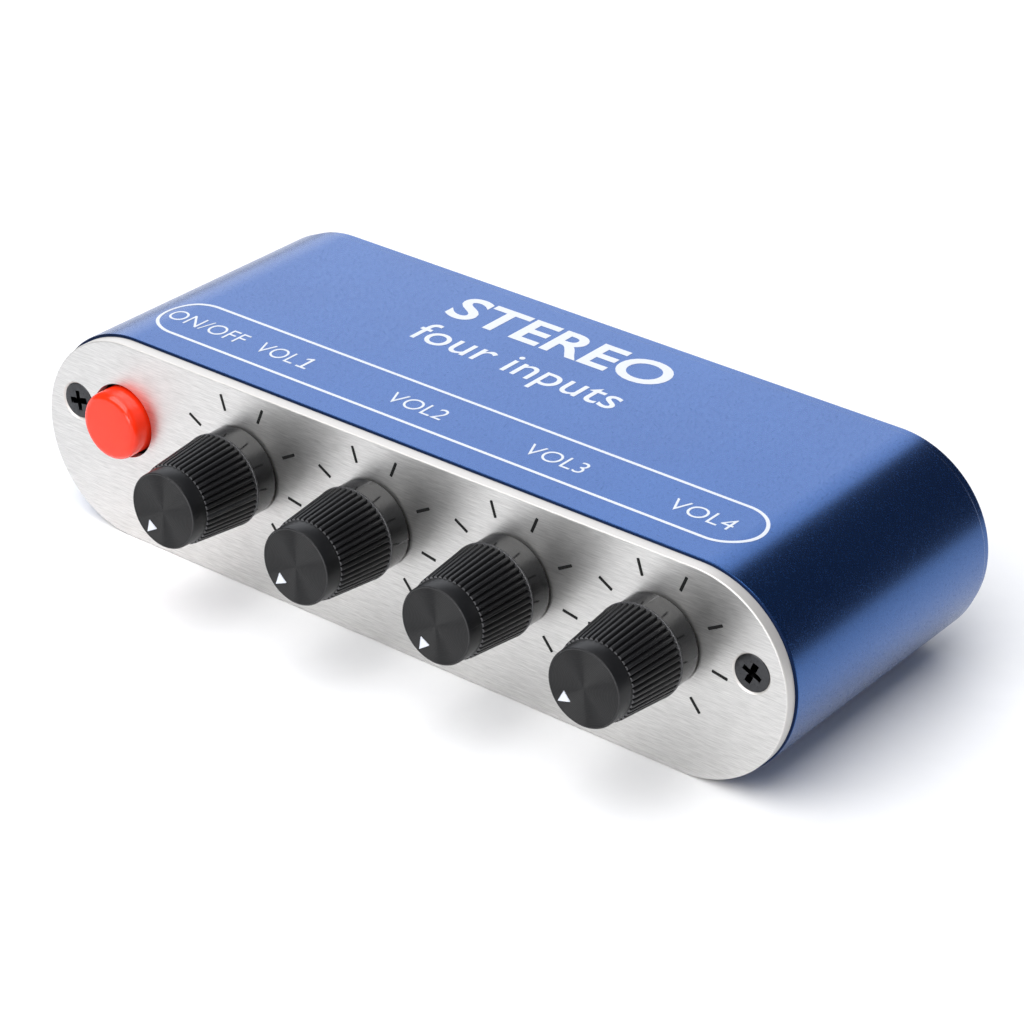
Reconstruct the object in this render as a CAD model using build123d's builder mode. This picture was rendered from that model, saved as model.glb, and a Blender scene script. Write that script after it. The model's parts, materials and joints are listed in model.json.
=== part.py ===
from build123d import *
import os
from math import cos, pi, radians, sin

# A small desktop stereo mixer: four volume knobs and a push-push power button on a
# brushed front plate, an anodised stadium-section tube, and a rear plate with five
# 3.5 mm sockets and a DC inlet.
# +X is the user's right, -Y faces the user, +Z is up. Millimetres. The origin is on the
# underside of the tube, in the middle of its width and of the casing's depth.

os.makedirs("parts", exist_ok=True)

# Casing
case_width = 124.8
case_height = 30.2
case_depth = 49.0
wall = 1.8
tube_edge_chamfer = 0.25
front_plate_thickness = 1.75
rear_plate_thickness = 1.5
plate_width = 124.0
plate_height = 29.8
plate_edge_chamfer = 0.2
plate_drop = 0.15  # the front plate hangs this much low on its screws

case_middle_z = case_height / 2
front_y = -case_depth / 2
rear_y = case_depth / 2
tube_front_y = front_y + front_plate_thickness
tube_rear_y = rear_y - rear_plate_thickness
front_plate_z = case_middle_z - plate_drop

# Screws: M3 countersunk, cross recess, in screw ports that run the length of the tube
screw_x = 56.5
screw_z = 18.3
screw_radius = 1.45
screw_length = 9.0
screw_head_radius = 2.6
screw_head_height = 1.15
screw_land = 0.1
screw_recess = 0.08
countersink_radius = 2.85
countersink_angle = 90
screw_port_radius = 3.0
screw_port_web = 3.0
screw_port_reach = 61.0
screw_port_bore = 1.5
cross_arm_width = 0.75
cross_span = 3.0
cross_depth = 1.1
cross_taper = 15

# Controls, all on one line
control_z = 17.95
knob_spacing = 22.93
first_knob_x = -26.24
knob_pointer_angles = (-145.0, -138.0, -150.0, -130.0)  # from 12 o'clock, clockwise
button_x = -48.16

# Knob, measured out from the front plate's face
knob_gap = 0.3
knob_skirt_radius = 6.35
knurl_rear = 4.3
knurl_rear_radius = 6.65
knurl_front = 13.2
knurl_front_radius = 5.75
knurl_depth = 0.3
knurl_ridges = 46
ridge_top_share = 0.24  # of one ridge's pitch, either side of its middle
ridge_foot_share = 0.38
knob_collar_radius = 5.5
knob_face_radius = 5.4
knob_length = 15.7
knob_edge_chamfer = 0.15
knob_hollow_radius = 5.3
knob_hollow_depth = 3.6
knob_bore_radius = 3.02
knob_bore_end = 12.4
pointer_tip = 4.9
pointer_base = 3.15
pointer_half_width = 0.8
pointer_depth = 0.12

# Potentiometer with a plain bushing and a D shaft, standing on the board's front edge
pot_width = 9.8
pot_depth = 6.4
pot_axis_to_top = 4.9
pot_cavity_radius = 4.3
pot_cavity_depth = 2.9
pot_cover_thickness = 0.5
pot_cover_gap = 0.25
pot_strap_length = 4.0
pot_leg_width = 1.2
bushing_radius = 3.5
bushing_bore = 3.05
bushing_hole_radius = 3.65
bushing_recess = 0.1
shaft_radius = 3.0
shaft_flat = 1.5  # from the shaft's axis to its flat
shaft_flat_bore = 1.52
shaft_end = 12.0  # in front of the front plate's face
shaft_flat_length = 8.5
rotor_radius = 3.9
rotor_thickness = 1.6
rotor_gap = 0.3
track_outer_radius = 4.1
track_inner_radius = 2.2
track_thickness = 0.4
wiper_thickness = 0.2
wiper_outer_radius = 3.6
wiper_inner_radius = 0.4
wiper_sweep_width = 1.4

# Power switch and its cap
button_radius = 4.95
button_hole_radius = 5.45
button_stand_out = 3.0
button_length = 6.6
button_edge_radius = 1.1
button_wall = 1.1
button_socket_half = 2.9
plunger_side = 3.2
plunger_fit = 0.03
plunger_collar_side = 6.4
plunger_collar = 0.8
plunger_slide_gap = 0.15
switch_width = 8.5
switch_depth = 12.0
switch_front_y = -14.0
switch_top = 22.2
switch_shell = 0.9
spring_wire = 0.4
spring_radius = 2.65
spring_turns = 5

# Circuit board, held in the tube's card slots
board_top = 11.45
board_thickness = 1.6
board_half_width = 59.0
board_front_y = -22.1
board_rear_y = 22.3
board_corner_radius = 1.0
slot_clearance = 0.1
slot_rib = 1.0
slot_rib_tip_x = 57.4
leg_stick_out = 1.4

# 3.5 mm sockets along the rear: the four inputs and the output
jack_xs = {
    "input_jack_1": first_knob_x,
    "input_jack_2": first_knob_x + knob_spacing,
    "input_jack_3": first_knob_x + 2 * knob_spacing,
    "input_jack_4": first_knob_x + 3 * knob_spacing,
    "output_jack": -37.2,
}
jack_z = 16.2
jack_width = 7.0
jack_top = 19.7
jack_body_depth = 12.6
jack_nose_radius = 3.0
jack_nose_hole = 3.15
jack_nose_recess = 0.1
jack_bore_radius = 1.8
jack_bore_depth = 14.0
contact_thickness = 0.3
contact_width = 2.0
contact_length = 8.0
leg_width = 0.8
leg_hole_radius = 0.55
wide_leg_hole_radius = 0.8
pot_leg_pitch = 2.5
pot_leg_rise = 3.0
switch_leg_pitch = 2.5

# DC inlet, 5.5 mm barrel over a 2.1 mm pin
dc_x = -47.6
dc_width = 9.0
dc_depth = 14.0
dc_top = 22.45
dc_bore_radius = 3.1
dc_bore_depth = 11.0
dc_pin_radius = 1.05
dc_pin_reach = 9.6
dc_pin_root_radius = 0.8
dc_pin_root_gap = 0.3  # from the socket's floor to the pin's full thickness
dc_pin_tip_radius = 0.63
dc_panel_hole = 4.0

# Parts soldered to the board
chip_length = 9.4
chip_width = 6.4
chip_height = 3.4
chip_edge_chamfer = 0.4
chip_stand_off = 0.5
chip_pitch = 2.54
chip_xs = (-14.0, 9.0, 32.0)
chip_y = 1.5
can_radius = 2.5
can_height = 11.0
can_rim = 0.35
can_spots = ((-21.0, -9.0), (2.0, -9.0), (25.0, -9.0), (47.5, -9.0), (-34.0, -4.0), (-34.0, 3.0))
film_size = (7.2, 2.5, 6.5)
film_corner_radius = 0.5
film_spots = ((-26.2, 5.3), (-3.3, 5.3), (19.6, 5.3), (42.5, 5.3))
smd_size = (2.0, 1.25, 0.55)
smd_pitch = 5.2
resistor_row = (-28.0, -13.4, 16)  # first x, y, how many
ceramic_row = (-24.0, -4.2, 13)
converter_size = (5.0, 4.0, 1.5)
converter_edge_chamfer = 0.25
converter_spot = (46.0, -0.5)
inductor_side = 6.0
inductor_height = 3.0
inductor_corner_radius = 1.2
inductor_spot = (53.0, 6.0)
diode_size = (4.3, 2.6, 2.1)
diode_edge_chamfer = 0.3
diode_spot = (-40.0, 0.0)


def facing_front(x, y, z, turn=0.0):
    """A plane that looks at the user; turn is degrees clockwise from upright."""
    up_side = (cos(radians(turn)), 0, -sin(radians(turn)))
    return Plane(origin=(x, y, z), x_dir=up_side, z_dir=(0, -1, 0))


def out_of_plate(distance):
    """The y of a point this far in front of the front plate's face."""
    return front_y - distance


def knob_x(index):
    return first_knob_x + index * knob_spacing


def save(part, name):
    part.label = name
    export_step(part, f"parts/{name}.step")


# Casing tube: an extrusion with card slots for the board and two screw ports
with BuildPart() as case_tube:
    with BuildSketch(facing_front(0, tube_front_y, case_middle_z)):
        SlotOverall(case_width, case_height)
        SlotOverall(case_width - 2 * wall, case_height - 2 * wall, mode=Mode.SUBTRACT)
    extrude(amount=tube_front_y - tube_rear_y)
    chamfer(case_tube.edges().filter_by(Plane.XZ).group_by(SortBy.LENGTH)[-1], tube_edge_chamfer)
    with BuildSketch(facing_front(0, tube_front_y, 0)):
        rib_length = case_width / 2 - wall / 2 - slot_rib_tip_x
        rib_middle = slot_rib_tip_x + rib_length / 2
        below = board_top - board_thickness - slot_clearance - slot_rib / 2
        above = board_top + slot_clearance + slot_rib / 2
        for side in (-1, 1):
            for rib_z in (below, above):
                with Locations((side * rib_middle, rib_z)):
                    Rectangle(rib_length, slot_rib)
        with BuildSketch(mode=Mode.INTERSECT):
            with Locations((0, case_middle_z)):
                SlotOverall(case_width - wall, case_height - wall)
    extrude(amount=tube_front_y - tube_rear_y)
    with BuildSketch(facing_front(0, tube_front_y, screw_z)):
        with Locations((-screw_x, 0), (screw_x, 0)):
            Circle(screw_port_radius)
        web_length = screw_port_reach - screw_x
        with Locations((-screw_x - web_length / 2, 0), (screw_x + web_length / 2, 0)):
            Rectangle(web_length, screw_port_web)
    extrude(amount=tube_front_y - tube_rear_y)
    with BuildSketch(facing_front(0, tube_front_y, screw_z)):
        with Locations((-screw_x, 0), (screw_x, 0)):
            Circle(screw_port_bore)
    extrude(amount=tube_front_y - tube_rear_y, mode=Mode.SUBTRACT)
save(case_tube.part, "case_tube")

# Front plate: brushed aluminium, countersunk for its screws
with BuildPart() as front_plate:
    with BuildSketch(facing_front(0, front_y, front_plate_z)):
        SlotOverall(plate_width, plate_height)
    extrude(amount=-front_plate_thickness)
    outline = front_plate.faces().sort_by(Axis.Y)[0].outer_wire().edges()
    chamfer(outline, plate_edge_chamfer)
    with Locations([facing_front(knob_x(i), front_y, control_z) for i in range(4)]):
        Hole(bushing_hole_radius)
    with Locations(facing_front(button_x, front_y, control_z)):
        Hole(button_hole_radius)
    with Locations([facing_front(x, front_y, screw_z) for x in (-screw_x, screw_x)]):
        CounterSinkHole(screw_port_bore, countersink_radius, counter_sink_angle=countersink_angle)
save(front_plate.part, "front_plate")

# Rear plate: anodised like the tube
with BuildPart() as rear_plate:
    with BuildSketch(facing_front(0, tube_rear_y, case_middle_z)):
        SlotOverall(plate_width, plate_height)
    extrude(amount=-rear_plate_thickness)
    outline = rear_plate.faces().sort_by(Axis.Y)[-1].outer_wire().edges()
    chamfer(outline, plate_edge_chamfer)
    with Locations([facing_front(x, rear_y, jack_z) for x in jack_xs.values()]):
        Hole(jack_nose_hole)
    with Locations(facing_front(dc_x, rear_y, control_z)):
        Hole(dc_panel_hole)
    rear_faces = [Plane((x, rear_y, screw_z), (1, 0, 0), (0, 1, 0)) for x in (-screw_x, screw_x)]
    with Locations(rear_faces):
        CounterSinkHole(screw_port_bore, countersink_radius, counter_sink_angle=countersink_angle)
save(rear_plate.part, "rear_plate")


def build_screws(name, outer_y, inward):
    """Two countersunk screws that go in at outer_y and run in the direction inward."""
    with BuildPart() as screws:
        for x in (-screw_x, screw_x):
            seat = Plane((x, outer_y + inward * screw_recess, screw_z), (1, 0, 0), (0, inward, 0))
            with BuildSketch(seat):
                Circle(screw_head_radius)
            extrude(amount=screw_land)
            with BuildSketch(seat.offset(screw_land)):
                Circle(screw_head_radius)
            with BuildSketch(seat.offset(screw_land + screw_head_height)):
                Circle(screw_radius)
            loft()
            with BuildSketch(seat):
                Circle(screw_radius)
            extrude(amount=screw_length)
            with BuildSketch(seat):
                Rectangle(cross_span, cross_arm_width)
                Rectangle(cross_arm_width, cross_span)
            extrude(amount=cross_depth, taper=cross_taper, mode=Mode.SUBTRACT)
    save(screws.part, name)


build_screws("front_screws", front_y, 1)
build_screws("rear_screws", rear_y, -1)

# Where legs go through the board
pot_cover_y = tube_front_y + pot_cover_gap
pot_housing_y = pot_cover_y + pot_cover_thickness
leg_length = board_thickness + leg_stick_out
leg_bottom = board_top - leg_length
pot_leg_y = pot_housing_y + pot_depth + contact_thickness / 2
pot_strap_x = pot_width / 2 + pot_cover_thickness / 2
pot_strap_leg_y = pot_cover_y + pot_strap_length - pot_leg_width / 2
jack_leg_x = jack_width / 2 + contact_thickness / 2
jack_leg_y = tube_rear_y - jack_body_depth / 2
chip_leg_y = chip_width / 2 + contact_thickness / 2
switch_middle_y = switch_front_y + switch_depth / 2

pot_leg_spots = [
    (knob_x(index) + pot_leg_pitch * step, pot_leg_y) for index in range(4) for step in (-1, 0, 1)
]
pot_strap_spots = [
    (knob_x(index) + pot_strap_x * side, pot_strap_leg_y) for index in range(4) for side in (-1, 1)
]
switch_leg_spots = [
    (button_x + switch_leg_pitch * row, switch_middle_y + switch_leg_pitch * step)
    for row in (-1, 1)
    for step in (-1, 0, 1)
]
jack_leg_spots = [(x + side * jack_leg_x, jack_leg_y) for x in jack_xs.values() for side in (-1, 1)]
dc_leg_spots = [
    (dc_x, tube_rear_y - dc_depth + contact_thickness),
    (dc_x, tube_rear_y - dc_depth / 2),
    (dc_x + dc_width / 4, tube_rear_y - dc_depth / 4),
]
chip_leg_spots = [
    (x + step * chip_pitch, chip_y + side * chip_leg_y)
    for x in chip_xs
    for side in (-1, 1)
    for step in (-1.5, -0.5, 0.5, 1.5)
]

# Circuit board
with BuildPart() as circuit_board:
    with BuildSketch(Plane.XY.offset(board_top - board_thickness)):
        with Locations((0, (board_front_y + board_rear_y) / 2)):
            Rectangle(2 * board_half_width, board_rear_y - board_front_y)
    extrude(amount=board_thickness)
    fillet(circuit_board.edges().filter_by(Axis.Z), board_corner_radius)
    with Locations(pot_leg_spots + switch_leg_spots + jack_leg_spots + chip_leg_spots):
        Hole(leg_hole_radius, depth=2 * board_top)
    with Locations(pot_strap_spots):
        Hole(wide_leg_hole_radius, depth=2 * board_top)
    with Locations(dc_leg_spots):
        Box(contact_width + leg_hole_radius, 2 * leg_hole_radius, 3 * board_top, mode=Mode.SUBTRACT)
save(circuit_board.part, "circuit_board")


def knurl_points(outer_radius):
    """Corners of a ridged section: flat-topped ridges with flat valleys between them."""
    points = []
    for ridge in range(knurl_ridges):
        for share, radius in (
            (-ridge_top_share, outer_radius),
            (ridge_top_share, outer_radius),
            (ridge_foot_share, outer_radius - knurl_depth),
            (1 - ridge_foot_share, outer_radius - knurl_depth),
        ):
            angle = 2 * pi * (ridge + share) / knurl_ridges
            points.append((radius * cos(angle), radius * sin(angle)))
    return points


def build_knob(index):
    """A push-on knob; its pointer lies along the plane's own y."""
    seat = facing_front(knob_x(index), front_y, control_z, knob_pointer_angles[index])
    with BuildPart() as knob:
        with BuildSketch(seat.offset(knob_gap)):
            Circle(knob_skirt_radius)
        extrude(amount=knurl_rear - knob_gap)
        for height, radius in ((knurl_rear, knurl_rear_radius), (knurl_front, knurl_front_radius)):
            with BuildSketch(seat.offset(height)):
                with BuildLine():
                    Polyline(*knurl_points(radius), close=True)
                make_face()
        loft(ruled=True)
        with BuildSketch(seat.offset(knurl_front)):
            Circle(knob_collar_radius)
        with BuildSketch(seat.offset(knob_length)):
            Circle(knob_face_radius)
        loft()
        chamfer(knob.edges().filter_by(GeomType.CIRCLE).sort_by(Axis.Y)[0], knob_edge_chamfer)
        with BuildSketch(seat.offset(knob_length)):
            with BuildLine():
                Polyline(
                    (0, pointer_tip),
                    (-pointer_half_width, pointer_base),
                    (pointer_half_width, pointer_base),
                    close=True,
                )
            make_face()
        extrude(amount=-pointer_depth, mode=Mode.SUBTRACT)
        with BuildSketch(seat.offset(knob_gap)):
            Circle(knob_hollow_radius)
        extrude(amount=knob_hollow_depth, mode=Mode.SUBTRACT)
        with BuildSketch(seat.offset(knob_gap)):
            Circle(knob_bore_radius)
            with Locations((0, shaft_flat_bore + knob_bore_radius)):
                Rectangle(2 * knob_bore_radius, 2 * knob_bore_radius, mode=Mode.SUBTRACT)
        extrude(amount=knob_bore_end - knob_gap, mode=Mode.SUBTRACT)
    save(knob.part, f"knob_{index + 1}")


def build_pot(index):
    """A potentiometer: cover with bushing and straps, housing, shaft with rotor, and wiper."""
    x = knob_x(index)
    turn = knob_pointer_angles[index]
    height = control_z + pot_axis_to_top - board_top
    middle_z = board_top + height / 2

    with BuildPart() as cover:
        with BuildSketch(facing_front(x, pot_cover_y, middle_z)):
            Rectangle(pot_width + 2 * pot_cover_thickness, height)
        extrude(amount=-pot_cover_thickness)
        with BuildSketch(facing_front(x, pot_cover_y, control_z)):
            Circle(bushing_radius)
        extrude(amount=pot_cover_y - front_y - bushing_recess)
        with BuildSketch(facing_front(x, pot_housing_y, control_z)):
            Circle(bushing_bore)
        extrude(amount=pot_housing_y - front_y, mode=Mode.SUBTRACT)
        for side in (-1, 1):
            strap_middle_y = pot_cover_y + pot_strap_length / 2
            with Locations((x + side * pot_strap_x, strap_middle_y, (board_top + control_z) / 2)):
                Box(pot_cover_thickness, pot_strap_length, control_z - board_top)
            with Locations((x + side * pot_strap_x, pot_strap_leg_y, board_top - leg_length / 2)):
                Box(pot_cover_thickness, pot_leg_width, leg_length)
    save(cover.part, f"pot_cover_{index + 1}")

    with BuildPart() as housing:
        with BuildSketch(facing_front(x, pot_housing_y, middle_z)):
            Rectangle(pot_width, height)
        extrude(amount=-pot_depth)
        with BuildSketch(facing_front(x, pot_housing_y, control_z)):
            Circle(pot_cavity_radius)
        extrude(amount=-pot_cavity_depth, mode=Mode.SUBTRACT)
    save(housing.part, f"pot_housing_{index + 1}")

    rotor_y = pot_housing_y + rotor_gap
    with BuildPart() as shaft:
        with BuildSketch(facing_front(x, rotor_y + rotor_thickness, control_z)):
            Circle(rotor_radius)
        extrude(amount=rotor_thickness)
        with BuildSketch(facing_front(x, rotor_y, control_z)):
            Circle(shaft_radius)
        extrude(amount=rotor_y - out_of_plate(shaft_end))
        end = facing_front(x, out_of_plate(shaft_end), control_z, turn)
        with BuildSketch(end):
            with Locations((0, shaft_flat + shaft_radius)):
                Rectangle(2 * shaft_radius, 2 * shaft_radius)
        extrude(amount=-shaft_flat_length, mode=Mode.SUBTRACT)
    save(shaft.part, f"pot_shaft_{index + 1}")

    with BuildPart() as wiper:
        back = facing_front(x, rotor_y + rotor_thickness + wiper_thickness, control_z, turn)
        with BuildSketch(back):
            Circle(wiper_outer_radius)
            Circle(wiper_inner_radius, mode=Mode.SUBTRACT)
            Rectangle(2 * wiper_outer_radius, wiper_sweep_width, mode=Mode.INTERSECT)
        extrude(amount=wiper_thickness)
    save(wiper.part, f"pot_wiper_{index + 1}")


for index in range(4):
    build_knob(index)
    build_pot(index)

with BuildPart() as pot_tracks:
    for index in range(4):
        with BuildSketch(facing_front(knob_x(index), pot_housing_y + pot_cavity_depth, control_z)):
            Circle(track_outer_radius)
            Circle(track_inner_radius, mode=Mode.SUBTRACT)
        extrude(amount=track_thickness)
save(pot_tracks.part, "pot_tracks")

# Three legs behind each potentiometer, bent down into the board
with BuildPart() as pot_terminals:
    for x, y in pot_leg_spots:
        with Locations((x, y, leg_bottom + (pot_leg_rise + leg_length) / 2)):
            Box(leg_width, contact_thickness, pot_leg_rise + leg_length)
save(pot_terminals.part, "pot_terminals")

# Push-push power switch: cap, plunger, return spring, housing and legs
button_front_y = out_of_plate(button_stand_out)
button_back_y = button_front_y + button_length

with BuildPart() as button_cap:
    with BuildSketch(facing_front(button_x, button_back_y, control_z)):
        Circle(button_radius)
    extrude(amount=button_length)
    fillet(button_cap.edges().filter_by(GeomType.CIRCLE).sort_by(Axis.Y)[0], button_edge_radius)
    with BuildSketch(facing_front(button_x, button_back_y, control_z)):
        Circle(button_radius - button_wall)
        Rectangle(2 * button_socket_half, 2 * button_socket_half, mode=Mode.SUBTRACT)
    extrude(amount=button_length - 2 * button_wall, mode=Mode.SUBTRACT)
    with BuildSketch(facing_front(button_x, button_back_y, control_z)):
        Rectangle(plunger_side + 2 * plunger_fit, plunger_side + 2 * plunger_fit)
    extrude(amount=button_length - 2 * button_wall, mode=Mode.SUBTRACT)
save(button_cap.part, "button_cap")

plunger_front_y = button_front_y + 2 * button_wall + plunger_fit
plunger_back_y = switch_front_y + switch_depth / 2
collar_front_y = button_back_y + plunger_fit

with BuildPart() as switch_plunger:
    with BuildSketch(facing_front(button_x, plunger_back_y, control_z)):
        Rectangle(plunger_side, plunger_side)
    extrude(amount=plunger_back_y - plunger_front_y)
    with BuildSketch(facing_front(button_x, collar_front_y, control_z)):
        Rectangle(plunger_collar_side, plunger_collar_side)
    extrude(amount=-plunger_collar)
save(switch_plunger.part, "switch_plunger")

with BuildPart() as switch_housing:
    height = switch_top - board_top
    with BuildSketch(facing_front(button_x, switch_front_y, board_top + height / 2)):
        Rectangle(switch_width, height)
    extrude(amount=-switch_depth)
    with BuildSketch(facing_front(button_x, switch_front_y + switch_shell, control_z)):
        Rectangle(switch_width - 2 * switch_shell, 2 * (switch_top - switch_shell - control_z))
    extrude(amount=-(switch_depth - 2 * switch_shell), mode=Mode.SUBTRACT)
    guide = plunger_side + 2 * plunger_slide_gap
    with BuildSketch(facing_front(button_x, switch_front_y, control_z)):
        Rectangle(guide, guide)
    extrude(amount=-2 * switch_shell, mode=Mode.SUBTRACT)
save(switch_housing.part, "switch_housing")

spring_front_y = collar_front_y + plunger_collar + spring_wire
spring_length = switch_front_y - spring_wire - spring_front_y
with BuildPart() as switch_spring:
    with BuildLine() as coil:
        Helix(
            pitch=spring_length / spring_turns,
            height=spring_length,
            radius=spring_radius,
            center=(button_x, spring_front_y, control_z),
            direction=(0, 1, 0),
        )
    with BuildSketch(Plane(origin=coil.line @ 0, z_dir=coil.line % 0)):
        Circle(spring_wire / 2)
    sweep()
save(switch_spring.part, "switch_spring")

with BuildPart() as switch_terminals:
    with Locations([(x, y, board_top - leg_length / 2) for x, y in switch_leg_spots]):
        Box(leg_width, contact_thickness, leg_length)
save(switch_terminals.part, "switch_terminals")


def build_jack(name, x):
    """A 3.5 mm socket with its nose in the rear plate."""
    height = jack_top - board_top
    with BuildPart() as jack:
        with BuildSketch(facing_front(x, tube_rear_y, board_top + height / 2)):
            Rectangle(jack_width, height)
        extrude(amount=jack_body_depth)
        nose_y = rear_y - jack_nose_recess
        with BuildSketch(facing_front(x, nose_y, jack_z)):
            Circle(jack_nose_radius)
        extrude(amount=nose_y - tube_rear_y + wall)
        with BuildSketch(facing_front(x, nose_y, jack_z)):
            Circle(jack_bore_radius)
        extrude(amount=jack_bore_depth, mode=Mode.SUBTRACT)
    save(jack.part, name)


for name, x in jack_xs.items():
    build_jack(name, x)

# Sprung strips along both sides of each socket, each with a leg through the board
with BuildPart() as jack_contacts:
    for x, y in jack_leg_spots:
        with Locations((x, y, jack_z)):
            Box(contact_thickness, contact_length, contact_width)
        with Locations((x, y, (jack_z + leg_bottom) / 2)):
            Box(contact_thickness, leg_width, jack_z - leg_bottom)
save(jack_contacts.part, "jack_contacts")

# DC inlet
with BuildPart() as dc_jack:
    height = dc_top - board_top
    with BuildSketch(facing_front(dc_x, tube_rear_y, board_top + height / 2)):
        Rectangle(dc_width, height)
    extrude(amount=dc_depth)
    with BuildSketch(facing_front(dc_x, tube_rear_y, control_z)):
        Circle(dc_bore_radius)
    extrude(amount=dc_bore_depth, mode=Mode.SUBTRACT)
    with BuildSketch(facing_front(dc_x, tube_rear_y, control_z)):
        Circle(dc_pin_root_radius)
    extrude(amount=dc_depth, mode=Mode.SUBTRACT)
save(dc_jack.part, "dc_jack")

# Its pin has a thin root that is pressed into the housing's back wall
with BuildPart() as dc_pin:
    pin_tip_y = tube_rear_y - dc_bore_depth + dc_pin_reach
    with BuildSketch(facing_front(dc_x, pin_tip_y, control_z)):
        Circle(dc_pin_root_radius)
    extrude(amount=dc_pin_reach + dc_depth - dc_bore_depth)
    with BuildSketch(facing_front(dc_x, pin_tip_y, control_z)):
        Circle(dc_pin_radius)
    extrude(amount=dc_pin_reach - dc_pin_root_gap)
    fillet(dc_pin.edges().filter_by(GeomType.CIRCLE).sort_by(Axis.Y)[-1], dc_pin_tip_radius)
save(dc_pin.part, "dc_pin")

with BuildPart() as dc_contacts:
    with Locations([(x, y, board_top - leg_length / 2) for x, y in dc_leg_spots]):
        Box(contact_width, contact_thickness, leg_length)
save(dc_contacts.part, "dc_contacts")

# Dual operational amplifiers: an input stage, a summing stage and an output stage
with BuildPart() as op_amps:
    for x in chip_xs:
        with Locations((x, chip_y, board_top + chip_stand_off + chip_height / 2)):
            Box(chip_length, chip_width, chip_height)
    chamfer(op_amps.edges().filter_by(Axis.X).group_by(Axis.Z)[-1], chip_edge_chamfer)
save(op_amps.part, "op_amps")

chip_leg_height = chip_stand_off + chip_height / 2 + leg_length
with BuildPart() as chip_legs:
    with Locations([(x, y, leg_bottom + chip_leg_height / 2) for x, y in chip_leg_spots]):
        Box(leg_width / 2, contact_thickness, chip_leg_height)
save(chip_legs.part, "chip_legs")

with BuildPart() as electrolytic_capacitors:
    for x, y in can_spots:
        with BuildSketch(Plane((x, y, board_top))):
            Circle(can_radius)
        extrude(amount=can_height)
    rims = electrolytic_capacitors.edges().filter_by(GeomType.CIRCLE).group_by(Axis.Z)[-1]
    fillet(rims, can_rim)
save(electrolytic_capacitors.part, "electrolytic_capacitors")

with BuildPart() as film_capacitors:
    for x, y in film_spots:
        with Locations((x, y, board_top + film_size[2] / 2)):
            Box(*film_size)
    fillet(film_capacitors.edges().filter_by(Axis.Z), film_corner_radius)
save(film_capacitors.part, "film_capacitors")


def build_chips(name, first_x, y, count):
    """A row of surface-mount parts beside each channel's amplifier."""
    with BuildPart() as chips:
        for index in range(count):
            with Locations((first_x + index * smd_pitch, y, board_top + smd_size[2] / 2)):
                Box(*smd_size)
    save(chips.part, name)


build_chips("resistors", *resistor_row)
build_chips("ceramic_capacitors", *ceramic_row)

with BuildPart() as converter_chip:
    with Locations((*converter_spot, board_top + converter_size[2] / 2)):
        Box(*converter_size)
    chamfer(converter_chip.faces().sort_by(Axis.Z)[-1].edges(), converter_edge_chamfer)
save(converter_chip.part, "converter_chip")

with BuildPart() as power_inductor:
    with Locations((*inductor_spot, board_top + inductor_height / 2)):
        Box(inductor_side, inductor_side, inductor_height)
    fillet(power_inductor.edges().filter_by(Axis.Z), inductor_corner_radius)
save(power_inductor.part, "power_inductor")

with BuildPart() as protection_diode:
    with Locations((*diode_spot, board_top + diode_size[2] / 2)):
        Box(*diode_size)
    chamfer(protection_diode.faces().sort_by(Axis.Z)[-1].edges(), diode_edge_chamfer)
save(protection_diode.part, "protection_diode")
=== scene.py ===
import json
import math

import bmesh
import bpy
from mathutils import Matrix, Vector


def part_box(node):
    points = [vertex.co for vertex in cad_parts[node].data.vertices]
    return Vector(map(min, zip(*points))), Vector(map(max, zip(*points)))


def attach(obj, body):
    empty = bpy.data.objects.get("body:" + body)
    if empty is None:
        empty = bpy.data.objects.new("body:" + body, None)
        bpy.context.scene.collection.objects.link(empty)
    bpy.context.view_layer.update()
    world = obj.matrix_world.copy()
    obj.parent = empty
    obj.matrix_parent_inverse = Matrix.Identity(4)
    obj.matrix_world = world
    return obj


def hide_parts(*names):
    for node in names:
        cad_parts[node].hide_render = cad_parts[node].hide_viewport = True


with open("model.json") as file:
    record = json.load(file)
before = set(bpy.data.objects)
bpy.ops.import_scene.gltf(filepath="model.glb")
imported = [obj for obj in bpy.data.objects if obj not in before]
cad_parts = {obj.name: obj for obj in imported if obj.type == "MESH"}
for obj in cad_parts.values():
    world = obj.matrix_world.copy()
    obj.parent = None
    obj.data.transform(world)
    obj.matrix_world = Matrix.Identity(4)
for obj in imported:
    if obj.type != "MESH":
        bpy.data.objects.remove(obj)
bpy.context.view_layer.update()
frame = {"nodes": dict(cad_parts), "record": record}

mm = 0.001
print("frame loaded:", len(frame["nodes"]), "nodes")


# small helpers

def onlyThis(piece):
    if bpy.context.mode != "OBJECT":
        bpy.ops.object.mode_set(mode="OBJECT")
    bpy.ops.object.select_all(action="DESELECT")
    piece.select_set(True)
    bpy.context.view_layer.objects.active = piece


def startEdit(piece, kind="VERT"):
    onlyThis(piece)
    bpy.ops.object.mode_set(mode="EDIT")
    bpy.ops.mesh.select_mode(type=kind)


def stopEdit():
    bpy.ops.object.mode_set(mode="OBJECT")


def selectAll():
    bpy.ops.mesh.select_all(action="SELECT")


def drawOut(step):
    # extrudes the selection by a step
    bpy.ops.mesh.extrude_region_move(TRANSFORM_OT_translate={"value": step})


def faceOut():
    # turns every face of the edited piece outward and leaves edit mode
    selectAll()
    bpy.ops.mesh.normals_make_consistent(inside=False)
    stopEdit()


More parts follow.
